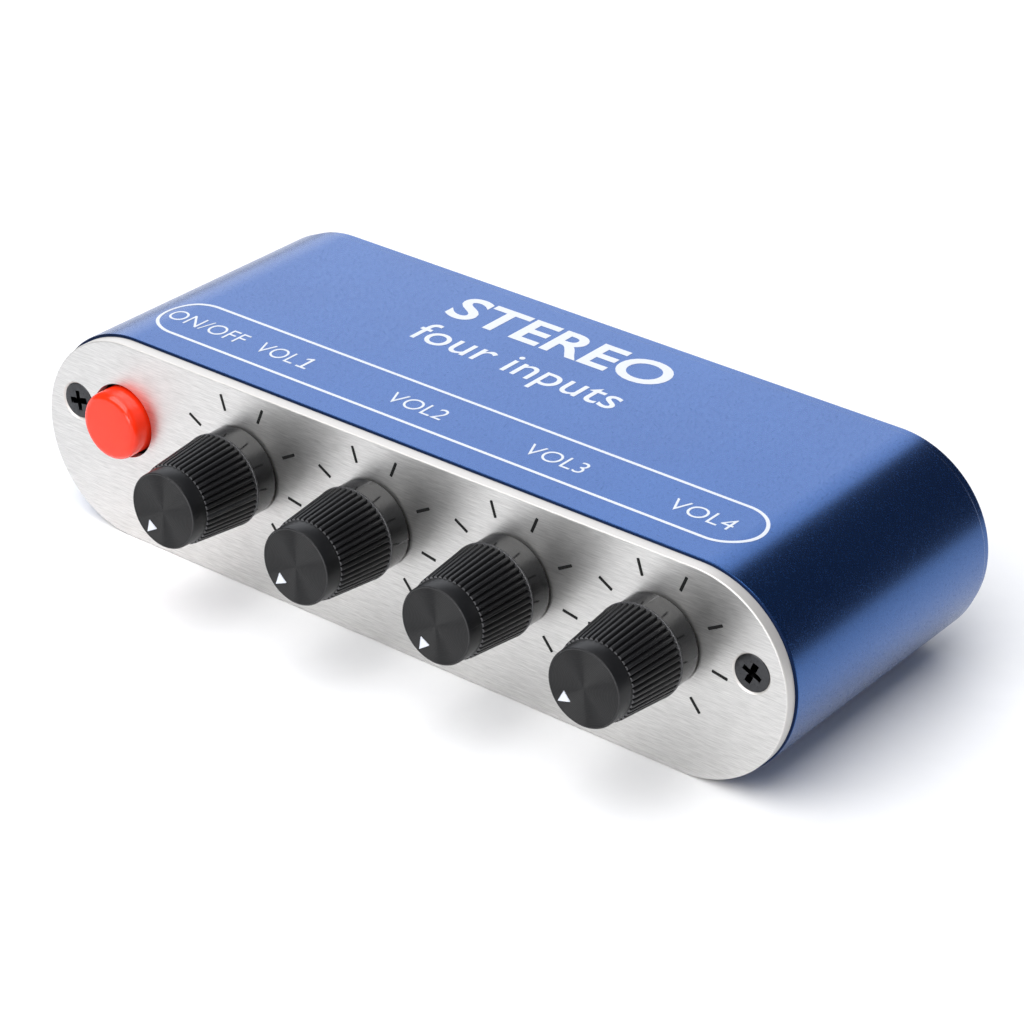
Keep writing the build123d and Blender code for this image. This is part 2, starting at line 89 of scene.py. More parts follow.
def pick(piece, kind, test):
    # selects the vertices, edges or faces whose middle passes the test
    bpy.ops.mesh.select_mode(type=kind)
    bpy.ops.mesh.select_all(action="DESELECT")
    mesh = bmesh.from_edit_mesh(piece.data)
    for item in {"VERT": mesh.verts, "EDGE": mesh.edges, "FACE": mesh.faces}[kind]:
        if kind == "VERT":
            middle = item.co
        elif kind == "EDGE":
            middle = (item.verts[0].co + item.verts[1].co) / 2
        else:
            middle = item.calc_center_median()
        if test(middle, item):
            item.select_set(True)
    mesh.select_flush_mode()
    bmesh.update_edit_mesh(piece.data)


def shapeWith(piece, kind, **settings):
    # adds a modifier and applies it at once
    onlyThis(piece)
    modifier = piece.modifiers.new(kind.lower(), kind)
    for key, value in settings.items():
        setattr(modifier, key, value)
    bpy.ops.object.modifier_apply(modifier=modifier.name)


def smooth(piece, degrees=35):
    onlyThis(piece)
    bpy.ops.object.shade_smooth_by_angle(angle=math.radians(degrees))


def smoothRound(piece, degrees=35):
    # smooth roundings, with the broad flats between them left truly flat
    smooth(piece, degrees)
    shapeWith(piece, "WEIGHTED_NORMAL", keep_sharp=True)


def bakePlace(piece):
    onlyThis(piece)
    bpy.ops.object.transform_apply(location=True, rotation=True, scale=True)


def copyOf(piece, name):
    twin = piece.copy()
    twin.data = piece.data.copy()
    twin.name = name
    bpy.context.scene.collection.objects.link(twin)
    return twin


def joinAll(pieces, name):
    onlyThis(pieces[0])
    for piece in pieces:
        piece.select_set(True)
    bpy.ops.object.join()
    pieces[0].name = name
    return pieces[0]


def cutWith(piece, cutter):
    shapeWith(piece, "BOOLEAN", operation="DIFFERENCE", object=cutter, solver="EXACT")
    bpy.data.objects.remove(cutter)


def settle(piece, name, body, slotName, *replaced):
    # the finished piece: place in the mesh, riding on its body
    bakePlace(piece)
    piece.name = name
    piece.data.name = name
    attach(piece, body)
    if replaced:
        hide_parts(*replaced)
    return piece


def finish(piece, look, name, body, slotName, *replaced):
    paint(piece, look)
    settle(piece, name, body, slotName, *replaced)


def middleOf(node):
    low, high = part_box(node)
    return (low + high) / 2


faceFront = (math.radians(90), 0, 0)  # local z out of the front plate, local y up
faceRear = (math.radians(90), 0, math.radians(180))


# materials

def fromHex(text):
    # sRGB hex to linear colour
    parts = [int(text[i:i + 2], 16) / 255 for i in (1, 3, 5)]
    return [c / 12.92 if c <= 0.04045 else ((c + 0.055) / 1.055) ** 2.4 for c in parts] + [1.0]


def addNode(tree, kind, settings=(), links=()):
    node = tree.nodes.new(kind)
    for key, value in dict(settings).items():
        if isinstance(key, int) or key in node.inputs:
            node.inputs[key].default_value = value
        else:
            setattr(node, key, value)
    for key, source in dict(links).items():
        tree.links.new(source, node.inputs[key])
    return node


def newMaterial(name, settings):
    # an empty material with a Principled shader and Object coordinates
    material = bpy.data.materials.new(name)
    material.use_nodes = True
    tree = material.node_tree
    tree.nodes.clear()
    shader = addNode(tree, "ShaderNodeBsdfPrincipled", settings)
    addNode(tree, "ShaderNodeOutputMaterial", links={"Surface": shader.outputs[0]})
    coords = addNode(tree, "ShaderNodeTexCoord")
    return material, tree, shader, coords.outputs["Object"]


def perMetre(sizeInMm):
    return 1 / (sizeInMm * mm)


def plugIn(tree, shader, colour, rough, bump):
    tree.links.new(colour.outputs[2], shader.inputs["Base Color"])
    tree.links.new(rough.outputs[0], shader.inputs["Roughness"])
    tree.links.new(bump.outputs[0], shader.inputs["Normal"])


# Bead-blasted, blue-dyed anodised aluminium: a metal under a thin hard oxide, so the
# blue darkens where it mirrors nothing and goes pale where the oxide mirrors a lamp.
blueAnodised = {
    "colour": "#2d5b99",
    "deepColour": "#27518d",
    "roughness": 0.27,
    "coarseRoughness": 0.5,
    "coarseFrom": 0.72,  # grains above this share are the coarse ones
    "grit": 0.15,
    "speck": 0.13,
    "cloud": 18,
    "sparkle": 0.3,
    "coat": 0.32,
    "coatRoughness": 0.28,
}


def makeBlueAnodised():
    look = blueAnodised
    material, tree, shader, place = newMaterial("anodisedAluminiumBlasted", {
        "Metallic": 1.0,
        "Coat Weight": look["coat"],
        "Coat Roughness": look["coatRoughness"],
        "Coat IOR": 1.6,
    })
    grit = addNode(tree, "ShaderNodeTexNoise",
                   {"Scale": perMetre(look["grit"]), "Detail": 2.0, "Roughness": 0.7},
                   {"Vector": place})
    cells = addNode(tree, "ShaderNodeTexVoronoi",
                    {"Scale": perMetre(look["speck"])}, {"Vector": place})
    cloud = addNode(tree, "ShaderNodeTexNoise",
                    {"Scale": perMetre(look["cloud"]), "Detail": 3.0}, {"Vector": place})
    sparkle = addNode(tree, "ShaderNodeMapRange",
                      {"From Min": 0.0, "From Max": 1.0, "To Min": 0.9, "To Max": 1.18},
                      {"Value": cells.outputs["Color"]})
    tint = addNode(tree, "ShaderNodeMix",
                   {"data_type": "RGBA", 6: fromHex(look["deepColour"]), 7: fromHex(look["colour"])},
                   {0: cloud.outputs["Fac"]})
    colour = addNode(tree, "ShaderNodeMix",
                     {"data_type": "RGBA", "blend_type": "MULTIPLY", 0: look["sparkle"]},
                     {6: tint.outputs[2], 7: sparkle.outputs[0]})
    # a few coarse grains scatter wider, so they glint where the rest mirrors the dark
    rough = addNode(tree, "ShaderNodeMapRange",
                    {"From Min": look["coarseFrom"], "From Max": 0.9,
                     "To Min": look["roughness"], "To Max": look["coarseRoughness"]},
                    {"Value": cells.outputs["Color"]})
    bump = addNode(tree, "ShaderNodeBump", {"Strength": 0.25, "Distance": 0.02 * mm},
                   {"Height": grit.outputs["Fac"]})
    plugIn(tree, shader, colour, rough, bump)
    return material


# Aluminium sheet brushed along its length with a belt: long fine scratches along x,
# lighter and darker, which spread a highlight across the grain.
brushedPlate = {
    "colour": "#e2e1df",
    "darkColour": "#bcbbb9",
    "scratchWidth": 0.09,
    "scratchLength": 5.0,
    "streaks": ((1.0, 1.0, 3.0), (3.4, 0.6, 2.0), (0.55, 0.35, 1.0)),  # width, length, detail
    "roughness": 0.36,
    "spread": 0.55,
}


def makeBrushedPlate():
    look = brushedPlate
    material, tree, shader, place = newMaterial("brushedAluminiumSheet", {
        "Metallic": 1.0,
        "Anisotropic": look["spread"],
    })
    streaks = []
    for width, length, detail in look["streaks"]:
        stretch = addNode(tree, "ShaderNodeMapping", {
            "Scale": (perMetre(look["scratchLength"] * length),
                      perMetre(look["scratchLength"]),
                      perMetre(look["scratchWidth"] * width)),
        }, {"Vector": place})
        noise = addNode(tree, "ShaderNodeTexNoise", {"Scale": 1.0, "Detail": detail, "Roughness": 0.6},
                        {"Vector": stretch.outputs[0]})
        streaks.append(noise.outputs["Fac"])
    broad = addNode(tree, "ShaderNodeMix", {"data_type": "FLOAT", 0: 0.4},
                    {2: streaks[0], 3: streaks[1]})
    mixed = addNode(tree, "ShaderNodeMix", {"data_type": "FLOAT", 0: 0.4},
                    {2: broad.outputs[0], 3: streaks[2]})
    contrast = addNode(tree, "ShaderNodeMapRange", {"From Min": 0.34, "From Max": 0.6},
                       {"Value": mixed.outputs[0]})
    colour = addNode(tree, "ShaderNodeMix",
                     {"data_type": "RGBA", 6: fromHex(look["darkColour"]), 7: fromHex(look["colour"])},
                     {0: contrast.outputs[0]})
    rough = addNode(tree, "ShaderNodeMapRange",
                    {"To Min": look["roughness"] - 0.06, "To Max": look["roughness"] + 0.08},
                    {"Value": streaks[2]})
    bump = addNode(tree, "ShaderNodeBump", {"Strength": 0.45, "Distance": 0.01 * mm},
                   {"Height": streaks[2]})
    tangent = addNode(tree, "ShaderNodeTangent", {"direction_type": "UV_MAP", "uv_map": "grain"})
    plugIn(tree, shader, colour, rough, bump)
    tree.links.new(tangent.outputs[0], shader.inputs["Tangent"])
    return material


# Black ABS: a spark-eroded mould on the grip, a polished one on the skirt.
knobPlastic = {"colour": "#141415", "edgeHighlightColour": "#4b4b4d", "gripRoughness": 0.36, "skirtRoughness": 0.14}


def makeKnobPlastic(name, roughness, specular, grain, strength):
    look = knobPlastic
    material, tree, shader, place = newMaterial(name, {"IOR": 1.54, "Specular IOR Level": specular})
    # sharp edges, found by pointiness, are painted a lighter grey: a painted highlight along the ridges and
    # rims
    edges = addNode(tree, "ShaderNodeNewGeometry")
    edgeHighlight = addNode(tree, "ShaderNodeMapRange", {"From Min": 0.53, "From Max": 0.62},
                   {"Value": edges.outputs["Pointiness"]})
    noise = addNode(tree, "ShaderNodeTexNoise", {"Scale": perMetre(grain), "Detail": 3.0},
                    {"Vector": place})
    share = addNode(tree, "ShaderNodeMath", {"operation": "MULTIPLY"},
                    {0: edgeHighlight.outputs[0], 1: noise.outputs["Fac"]})
    colour = addNode(tree, "ShaderNodeMix",
                     {"data_type": "RGBA", 6: fromHex(look["colour"]), 7: fromHex(look["edgeHighlightColour"])},
                     {0: share.outputs[0]})
    rough = addNode(tree, "ShaderNodeMapRange",
                    {"To Min": roughness - 0.05, "To Max": roughness + 0.07},
                    {"Value": noise.outputs["Fac"]})
    bump = addNode(tree, "ShaderNodeBump", {"Strength": strength, "Distance": 0.01 * mm},
                   {"Height": noise.outputs["Fac"]})
    plugIn(tree, shader, colour, rough, bump)
    return material


# The knob's face has fine rings from turning the mould: they draw a highlight out from
# the middle, so it shows as two opposite wedges.
turnedFace = {"colour": "#0d0d0e", "ringColour": "#161617", "roughness": 0.5, "ringPitch": 0.22}


def makeTurnedFace():
    look = turnedFace
    material, tree, shader, place = newMaterial("turnedAbsBlack", {
        "IOR": 1.54,
        "Specular IOR Level": 0.42,
        "Anisotropic": 0.98,
    })
    rings = addNode(tree, "ShaderNodeUVMap", {"uv_map": "rings"})
    stretch = addNode(tree, "ShaderNodeMapping", {"Scale": (perMetre(look["ringPitch"]), 3.0, 1.0)},
                      {"Vector": rings.outputs[0]})
    noise = addNode(tree, "ShaderNodeTexNoise", {"Scale": 1.0, "Detail": 2.0},
                    {"Vector": stretch.outputs[0]})
    tone = addNode(tree, "ShaderNodeMix",
                   {"data_type": "RGBA", 6: fromHex(look["colour"]), 7: fromHex(look["ringColour"])},
                   {0: noise.outputs["Fac"]})
    rough = addNode(tree, "ShaderNodeMapRange",
                    {"To Min": look["roughness"] - 0.06, "To Max": look["roughness"] + 0.06},
                    {"Value": noise.outputs["Fac"]})
    bump = addNode(tree, "ShaderNodeBump", {"Strength": 0.3, "Distance": 0.01 * mm},
                   {"Height": noise.outputs["Fac"]})
    tangent = addNode(tree, "ShaderNodeTangent", {"direction_type": "UV_MAP", "uv_map": "rings"})
    plugIn(tree, shader, tone, rough, bump)
    tree.links.new(tangent.outputs[0], shader.inputs["Tangent"])
    return material


# Glossy red ABS from a polished mould: light gets a little way in, so it glows at edges.
buttonPlastic = {"colour": "#fb3613", "shadeColour": "#ee2a0c", "roughness": 0.16}


def makeButtonPlastic():
    look = buttonPlastic
    material, tree, shader, place = newMaterial("polishedAbsRed", {
        "IOR": 1.54,
        "Specular IOR Level": 0.4,
        "Subsurface Weight": 0.12,
        "Subsurface Radius": (1.0 * mm, 0.3 * mm, 0.2 * mm),
        "Subsurface Scale": 1.0,
    })
    flow = addNode(tree, "ShaderNodeTexNoise", {"Scale": perMetre(3.5), "Detail": 2.0},
                   {"Vector": place})
    colour = addNode(tree, "ShaderNodeMix",
                     {"data_type": "RGBA", 6: fromHex(look["shadeColour"]), 7: fromHex(look["colour"])},
                     {0: flow.outputs["Fac"]})
    peel = addNode(tree, "ShaderNodeTexNoise", {"Scale": perMetre(0.6), "Detail": 2.0},
                   {"Vector": place})
    rough = addNode(tree, "ShaderNodeMapRange",
                    {"To Min": look["roughness"] - 0.04, "To Max": look["roughness"] + 0.06},
                    {"Value": peel.outputs["Fac"]})
    bump = addNode(tree, "ShaderNodeBump", {"Strength": 0.06, "Distance": 0.02 * mm},
                   {"Height": peel.outputs["Fac"]})
    plugIn(tree, shader, colour, rough, bump)
    return material


def makePlain(name, colour, otherColour, grain, roughness, bumpStrength=0.15, **settings):
    # two close colours in a fine grain, with roughness and bump from the same grain
    material, tree, shader, place = newMaterial(name, settings)
    noise = addNode(tree, "ShaderNodeTexNoise", {"Scale": perMetre(grain), "Detail": 4.0},
                    {"Vector": place})
    tint = addNode(tree, "ShaderNodeMix",
                   {"data_type": "RGBA", 6: fromHex(colour), 7: fromHex(otherColour)},
                   {0: noise.outputs["Fac"]})
    rough = addNode(tree, "ShaderNodeMapRange",
                    {"To Min": roughness - 0.08, "To Max": roughness + 0.08},
                    {"Value": noise.outputs["Fac"]})
    bump = addNode(tree, "ShaderNodeBump", {"Strength": bumpStrength, "Distance": 0.02 * mm},
                   {"Height": noise.outputs["Fac"]})
    plugIn(tree, shader, tint, rough, bump)
    return material


metal = {"Metallic": 1.0}  # every bare metal part
dull = {"Specular IOR Level": 0.25}  # ink that soaks the light up
finishes = {
    "blue_anodised": makeBlueAnodised(),
    "brushed_aluminium": makeBrushedPlate(),
    "plate_edge": makePlain("machinedAluminiumEdge", "#cfccc8", "#dcd9d5", 0.12, 0.5, 0.1, Metallic=0.45),
    # tube_edge: a dark blue that is painted shade, the shadow line where the plates meet the tube
    "tube_edge": makePlain("anodisedEdgePaintedShade", "#16233f", "#1d2d50", 0.2, 0.6, 0.2, **metal),
    "knob_abs": makeKnobPlastic("mouldedAbsBlackSatin", knobPlastic["gripRoughness"], 0.32, 0.25, 0.25),
    "knob_skirt": makeKnobPlastic("mouldedAbsBlackPolished", knobPlastic["skirtRoughness"], 0.5, 1.2, 0.05),
    # knob_edge: a lighter grey for thin bands at the ridge ends, a painted highlight
    "knob_edge": makePlain("mouldedAbsEdgePaintedHighlight", "#3a3a3c", "#59595b", 0.3, 0.3, 0.2, IOR=1.54),
    "knob_face": makeTurnedFace(),
    "button_abs": makeButtonPlastic(),
    "black_screw": makePlain("blackOxideSteel", "#3b3b3d", "#4f5052", 0.3, 0.3, **metal),
    # screw_recess: near black, painted shade for the inside of the cross recess
    "screw_recess": makePlain("blackOxideRecessPaintedShade", "#0d0d0e", "#161617", 0.3, 0.5, **metal),
    "white_ink": makePlain("screenInkWhite", "#dcdfe6", "#ced2da", 0.25, 0.5, 0.2),
    "black_ink": makePlain("screenInkBlack", "#0b0b0b", "#161616", 0.25, 0.6, 0.2, **dull),
    "circuit_board": makePlain("solderMaskGreen", "#0c4a25", "#136235", 1.5, 0.3, 0.2, IOR=1.55),
    "plated_steel": makePlain("tinPlatedSteel", "#b9b8b3", "#d2d1cc", 0.8, 0.3, **metal),
    "pot_resin": makePlain("phenolicMoulded", "#26201c", "#332b26", 0.4, 0.5),
    "shaft_aluminium": makePlain("turnedAluminium", "#c3c4c6", "#d8d9da", 0.2, 0.28, **metal),
    "contact_brass": makePlain("phosphorBronzeStrip", "#c99b52", "#dcb068", 0.6, 0.28, **metal),
    "pin_plating": makePlain("nickelPlatedBrass", "#c9c5bb", "#dad6cd", 0.5, 0.2, **metal),
    "carbon_track": makePlain("carbonInk", "#141414", "#222222", 0.3, 0.55),
    "tinned_legs": makePlain("tinnedCopper", "#c2c1bb", "#d6d5cf", 0.4, 0.32, **metal),
    "plunger_nylon": makePlain("nylonNatural", "#e3ddcb", "#d8d0ba", 0.6, 0.45),
    "spring_steel": makePlain("drawnSpringSteel", "#aeb0b3", "#c6c8ca", 0.15, 0.25, **metal),
    "black_resin": makePlain("nylonBlackMoulded", "#1a1a1b", "#262627", 0.35, 0.42),
    "chip_resin": makePlain("epoxyBlackMoulded", "#1b1b1c", "#29292a", 0.12, 0.55, 0.3),
    "capacitor_sleeve": makePlain("pvcSleeveBlue", "#101a38", "#182750", 2.0, 0.25),
    "film_box": makePlain("polyesterBoxRed", "#8e1d17", "#a12820", 0.8, 0.3),
    "ceramic_chip": makePlain("firedCeramicTan", "#9c8163", "#b39675", 0.3, 0.5),
    "resistor_chip": makePlain("glazedAluminaBlack", "#18191b", "#232527", 0.4, 0.3),
    "ferrite": makePlain("sinteredFerrite", "#3b3b3d", "#4a4a4c", 0.2, 0.6),
}


def paint(piece, *names):
    piece.data.materials.clear()
    for name in names:
        piece.data.materials.append(finishes[name])


slotOf = {s["node"]: s["material_slot"] for s in frame["record"]["subparts"]}
for node, piece in frame["nodes"].items():
    for seat in piece.material_slots:
        seat.material = finishes[slotOf[node]]
print("materials made")


# casing

plateLow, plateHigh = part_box("front_plate")
tubeLow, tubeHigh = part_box("case_tube")
rearLow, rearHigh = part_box("rear_plate")

# every hole is given by its radius
casing = {"wall": 1.8 * mm, "tubeEdge": 0.3 * mm, "plateEdge": 0.22 * mm, "arcSteps": 192, "holeSteps": 96,
          "knobHole": 3.65 * mm, "buttonHole": 5.45 * mm, "screwHole": 1.5 * mm, "countersink": 2.85 * mm,
          "socketHole": 3.15 * mm, "inletHole": 4.0 * mm}
# a 3.5 mm socket: its axis height, round nose and mouth, and the metal sleeve that lines it
socket = {"height": 16.2 * mm, "nose": 3.0 * mm, "bore": 1.8 * mm, "sleeve": 2.15 * mm, "depth": 14.0 * mm,
          "edge": 0.2 * mm, "round": 0.15 * mm, "mouth": 0.25 * mm, "root": 0.5 * mm,
          "liningInset": 0.3 * mm, "liningMouth": 0.1 * mm, "fit": 0.01 * mm}
# inside the tube: two ribs a side that hold the board, and a port for each pair of screws
inside = {"ribTip": 57.4 * mm, "ribThick": 1.0 * mm,
          "ribs": ((9.25 * mm, 60.2 * mm), (12.05 * mm, 61.2 * mm)),  # height, reach into the wall
          "port": 3.0 * mm, "portBore": 1.5 * mm, "webReach": 61.2 * mm, "webThick": 3.0 * mm}


def stadiumBlock(low, high):
    # half a cylinder, drawn out to the middle and mirrored: a solid of stadium section
    size = high - low
    middle = (high + low) / 2
    straight = size.x / 2 - size.z / 2
    bpy.ops.mesh.primitive_cylinder_add(vertices=casing["arcSteps"], radius=size.z / 2,
                                        depth=size.y, rotation=faceFront)
    solid = bpy.context.object
    bakePlace(solid)
    startEdit(solid)
    selectAll()
    bpy.ops.mesh.bisect(plane_co=(0, 0, 0), plane_no=(1, 0, 0), clear_inner=True)
    selectAll()
    bpy.ops.transform.translate(value=(straight, 0, 0))
    pick(solid, "EDGE", lambda place, edge: edge.is_boundary)
    drawOut((-straight, 0, 0))
    stopEdit()
    shapeWith(solid, "MIRROR", use_clip=True, merge_threshold=1e-6)
    startEdit(solid, "FACE")
    selectAll()
    bpy.ops.mesh.dissolve_limited(angle_limit=math.radians(0.1))
    faceOut()
    solid.location = middle
    bakePlace(solid)
    return solid


def drill(piece, places, radius, outerY, depth=120 * mm):
    # round holes from outerY, right through or to a depth; places are (x, z)
    for x, z in places:
        bpy.ops.mesh.primitive_cylinder_add(vertices=casing["holeSteps"], radius=radius, depth=2 * depth,
                                            location=(x, outerY, z), rotation=faceFront)
        cutWith(piece, bpy.context.object)


def countersink(piece, places, radius, outerY, inward):
    # a 90 degree cone that starts a little outside the face, so it cuts it cleanly
    proud = 0.3 * mm
    depth = radius + proud
    for x, z in places:
        bpy.ops.mesh.primitive_cone_add(vertices=casing["holeSteps"], radius1=depth, radius2=0, depth=depth,
                                        location=(x, outerY + inward * (depth / 2 - proud), z),
                                        rotation=faceRear if inward > 0 else faceFront)
        cutWith(piece, bpy.context.object)


def straightBevel(piece, width, outerY):
    # rounds the outer rim of a plate's outer face
    startEdit(piece, "EDGE")
    pick(piece, "EDGE", lambda middle, edge: abs(middle.y - outerY) < 1e-5 and len(edge.link_faces) == 2
         and edge.calc_face_angle() > 1.0)
    bpy.ops.mesh.bevel(offset=width, segments=3, profile=0.5, affect="EDGES")
    stopEdit()


def mapGrain(piece):
    # a flat map whose u runs up across the scratches, the way they spread a highlight
    layer = piece.data.uv_layers.new(name="grain")
    for loop in piece.data.loops:
        place = piece.data.vertices[loop.vertex_index].co
        layer.data[loop.index].uv = (place.z * 10 + place.y * 3, place.x * 10)
    piece.data.uv_layers.active = layer


screwLow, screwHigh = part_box("front_screws")
screwX = screwHigh.x - (screwHigh.z - screwLow.z) / 2
screwPlaces = [(side * screwX, (screwLow.z + screwHigh.z) / 2) for side in (-1, 1)]
knobNames = ["knob_1", "knob_2", "knob_3", "knob_4"]
knobPlaces = []
for name in knobNames:
    housing = middleOf(name.replace("knob", "pot_housing"))
    knobPlaces.append((housing.x, middleOf(name.replace("knob", "pot_shaft")).z))
buttonMiddle = middleOf("button_cap")
pinMiddle = middleOf("dc_pin")
jackNames = ["input_jack_1", "input_jack_2", "input_jack_3", "input_jack_4", "output_jack"]
jackPlaces = [(middleOf(name).x, socket["height"]) for name in jackNames]


def block(low, high):
    bpy.ops.mesh.primitive_cube_add(size=1, location=(Vector(low) + Vector(high)) / 2)
    piece = bpy.context.object
    piece.scale = Vector(high) - Vector(low)
    bakePlace(piece)
    return piece


def makeInside():
    pieces = []
    for side in (-1, 1):
        for height, reach in inside["ribs"]:
            ends = sorted((side * inside["ribTip"], side * reach))
            half = inside["ribThick"] / 2
            pieces.append(block((ends[0], tubeLow.y, height - half), (ends[1], tubeHigh.y, height + half)))
    for x, z in screwPlaces:
        bpy.ops.mesh.primitive_cylinder_add(vertices=64, radius=inside["port"], depth=tubeHigh.y - tubeLow.y,
                                            location=(x, (tubeLow.y + tubeHigh.y) / 2, z), rotation=faceFront)
        port = bpy.context.object
        ends = sorted((x, math.copysign(inside["webReach"], x)))
        half = inside["webThick"] / 2
        web = block((ends[0], tubeLow.y, z - half), (ends[1], tubeHigh.y, z + half))
        shapeWith(port, "BOOLEAN", operation="UNION", object=web, solver="EXACT")
        bpy.data.objects.remove(web)
        drill(port, [(x, z)], inside["portBore"], tubeHigh.y)
        pieces.append(port)
    return pieces


tube = stadiumBlock(tubeLow, tubeHigh)
startEdit(tube, "FACE")
pick(tube, "FACE", lambda middle, face: abs(face.normal.y) > 0.9)
bpy.ops.mesh.delete(type="FACE")
stopEdit()
shapeWith(tube, "SOLIDIFY", thickness=casing["wall"], offset=-1, use_even_offset=True)
shapeWith(tube, "BEVEL", width=casing["tubeEdge"], segments=3, limit_method="ANGLE",
          angle_limit=math.radians(60))
tube = joinAll([tube] + makeInside(), "tube")
smoothRound(tube)
paint(tube, "blue_anodised", "tube_edge")
# the tube's end faces and their rounded edges are painted dark blue: a painted shadow line at the joint with
# the plates
for polygon in tube.data.polygons:
    if abs(polygon.normal.y) > 0.3:
        polygon.material_index = 1
settle(tube, "case_tube_shell", "root", "blue_anodised", "case_tube")

frontPlate = stadiumBlock(plateLow, plateHigh)
straightBevel(frontPlate, casing["plateEdge"], plateLow.y)
drill(frontPlate, knobPlaces, casing["knobHole"], plateLow.y)
drill(frontPlate, [(buttonMiddle.x, buttonMiddle.z)], casing["buttonHole"], plateLow.y)
drill(frontPlate, screwPlaces, casing["screwHole"], plateLow.y)
countersink(frontPlate, screwPlaces, casing["countersink"], plateLow.y, 1)
smoothRound(frontPlate)
mapGrain(frontPlate)
paint(frontPlate, "brushed_aluminium", "plate_edge")
for polygon in frontPlate.data.polygons:
    if abs(polygon.normal.y) < 0.9:
        polygon.material_index = 1
settle(frontPlate, "front_plate_brushed", "root", "brushed_aluminium", "front_plate")

rearPlate = stadiumBlock(rearLow, rearHigh)
straightBevel(rearPlate, casing["plateEdge"], rearHigh.y)
drill(rearPlate, jackPlaces, casing["socketHole"], rearHigh.y)
drill(rearPlate, [(pinMiddle.x, pinMiddle.z)], casing["inletHole"], rearHigh.y)
drill(rearPlate, screwPlaces, casing["screwHole"], rearHigh.y)
countersink(rearPlate, screwPlaces, casing["countersink"], rearHigh.y, -1)
smoothRound(rearPlate)
finish(rearPlate, "blue_anodised", "rear_plate_anodised", "root", "blue_anodised", "rear_plate")
print("casing made")


# knobs

knob = {
    "ridges": 46,
    "stepsPerRidge": 8,
    "ridgeShape": (0.12, 0.0, 0.0, 0.0, 0.12, 0.75, 1.0, 0.75),  # share of the depth at each step
    "ridgeDepth": 0.38 * mm,
    "bore": 5.3 * mm,
    "boreDepth": 3.6 * mm,
    "gap": 0.3 * mm,
    "skirt": 6.35 * mm,
    "skirtRound": 0.12 * mm,
    "rim": 6.68 * mm,
    # the rim, as mm from the rear of the grip and from the rim's radius
    "rimShape": ((-0.26, -0.06), (-0.18, 0.0), (-0.02, 0.0), (0.0, -0.03)),
    "rimWidth": 0.3 * mm,
    "gripRear": 4.3 * mm,
    "gripRearRadius": 6.65 * mm,
    "gripFront": 13.2 * mm,
    "gripFrontRadius": 5.78 * mm,
    "collar": 5.5 * mm,
    "face": 5.4 * mm,
    "length": 15.7 * mm,
    # the edge round the face, as mm from the front of the knob and from the face's radius
    "edgeShape": ((-0.14, 0.02), (-0.04, -0.03), (0.0, -0.1)),
    "lip": 0.22 * mm,
    "well": 0.5 * mm,
    "ease": 0.02 * mm,
    # half the width of the painted highlight bands at the ends of the ridges
    "highlightBand": 0.045 * mm,
    "faceThick": 0.3 * mm,
    "grooves": 23,
    "grooveDepth": 0.028 * mm,
}
# the triangle: its angle on each knob is clockwise from 12 o'clock, seen from the front
pointer = {"angles": (-145, -138, -150, -130), "width": 0.92, "length": 1.17, "out": 3.73 * mm,
           "thickness": 0.03 * mm, "corner": 0.08 * mm}


def raiseRing(height, radius, state):
    # draws the selected ring out to the next height and radius of the outline
    drawOut((0, 0, height - state["height"]))
    share = radius / state["radius"]
    bpy.ops.transform.resize(value=(share, share, 1), center_override=(0, 0, 0))
    state["height"] = height
    state["radius"] = radius


def startRing(steps, height, radius):
    # a ring of vertices, selected in edit mode, and where its outline stands
    bpy.ops.mesh.primitive_circle_add(vertices=steps, radius=radius)
    ring = bpy.context.object
    startEdit(ring, "EDGE")
    selectAll()
    bpy.ops.transform.translate(value=(0, 0, height))
    return ring, {"height": height, "radius": radius}


def makeKnobBody():
    ease = knob["ease"]
    steps = knob["stepsPerRidge"]
    body, state = startRing(knob["ridges"] * steps, knob["boreDepth"] + knob["gap"], knob["bore"])
    outline = [
        (knob["gap"], knob["bore"]),
        (knob["gap"], knob["skirt"] - knob["skirtRound"]),
        (knob["gap"] + knob["skirtRound"], knob["skirt"]),
        (knob["gripRear"] - knob["rimWidth"], knob["skirt"]),
    ]
    for along, out in knob["rimShape"]:
        outline.append((knob["gripRear"] + along * mm, knob["rim"] + out * mm))
    rear = knob["gripRear"] + 2 * ease
    front = knob["gripFront"] - 2 * ease
    for share in (0.0, 0.02, 0.25, 0.5, 0.75, 0.96, 1.0):
        radius = knob["gripRearRadius"] + share * (knob["gripFrontRadius"] - knob["gripRearRadius"])
        outline.append((rear + share * (front - rear), radius - (2.5 * ease if share in (0.0, 1.0) else 0)))
    outline += [(knob["gripFront"], knob["collar"]), (knob["gripFront"] + 5 * ease, knob["collar"])]
    for along, out in knob["edgeShape"]:
        outline.append((knob["length"] + along * mm, knob["face"] + out * mm))
    outline += [(knob["length"], knob["face"] - knob["lip"]),
                (knob["length"] - knob["well"], knob["face"] - knob["lip"])]
    for height, radius in outline:
        raiseRing(height, radius, state)
    bpy.ops.mesh.edge_face_add()
    # the ridges: every step of the grip goes in by its share of the depth
    low = knob["gripRear"] + ease
    high = knob["gripFront"] - ease
    for step, share in enumerate(knob["ridgeShape"]):
        if share == 0:
            continue

        def onStep(place, vert, step=step):
            if not low < place.z < high:
                return False
            turn = math.atan2(place.y, place.x) / (2 * math.pi) * knob["ridges"] * steps
            return round(turn) % steps == step

        pick(body, "VERT", onStep)
        depth = knob["ridgeDepth"] * share / ((knob["gripRearRadius"] + knob["gripFrontRadius"]) / 2)
        bpy.ops.transform.resize(value=(1 - depth, 1 - depth, 1), center_override=(0, 0, 0))
    faceOut()
    smooth(body, 28)
    return body


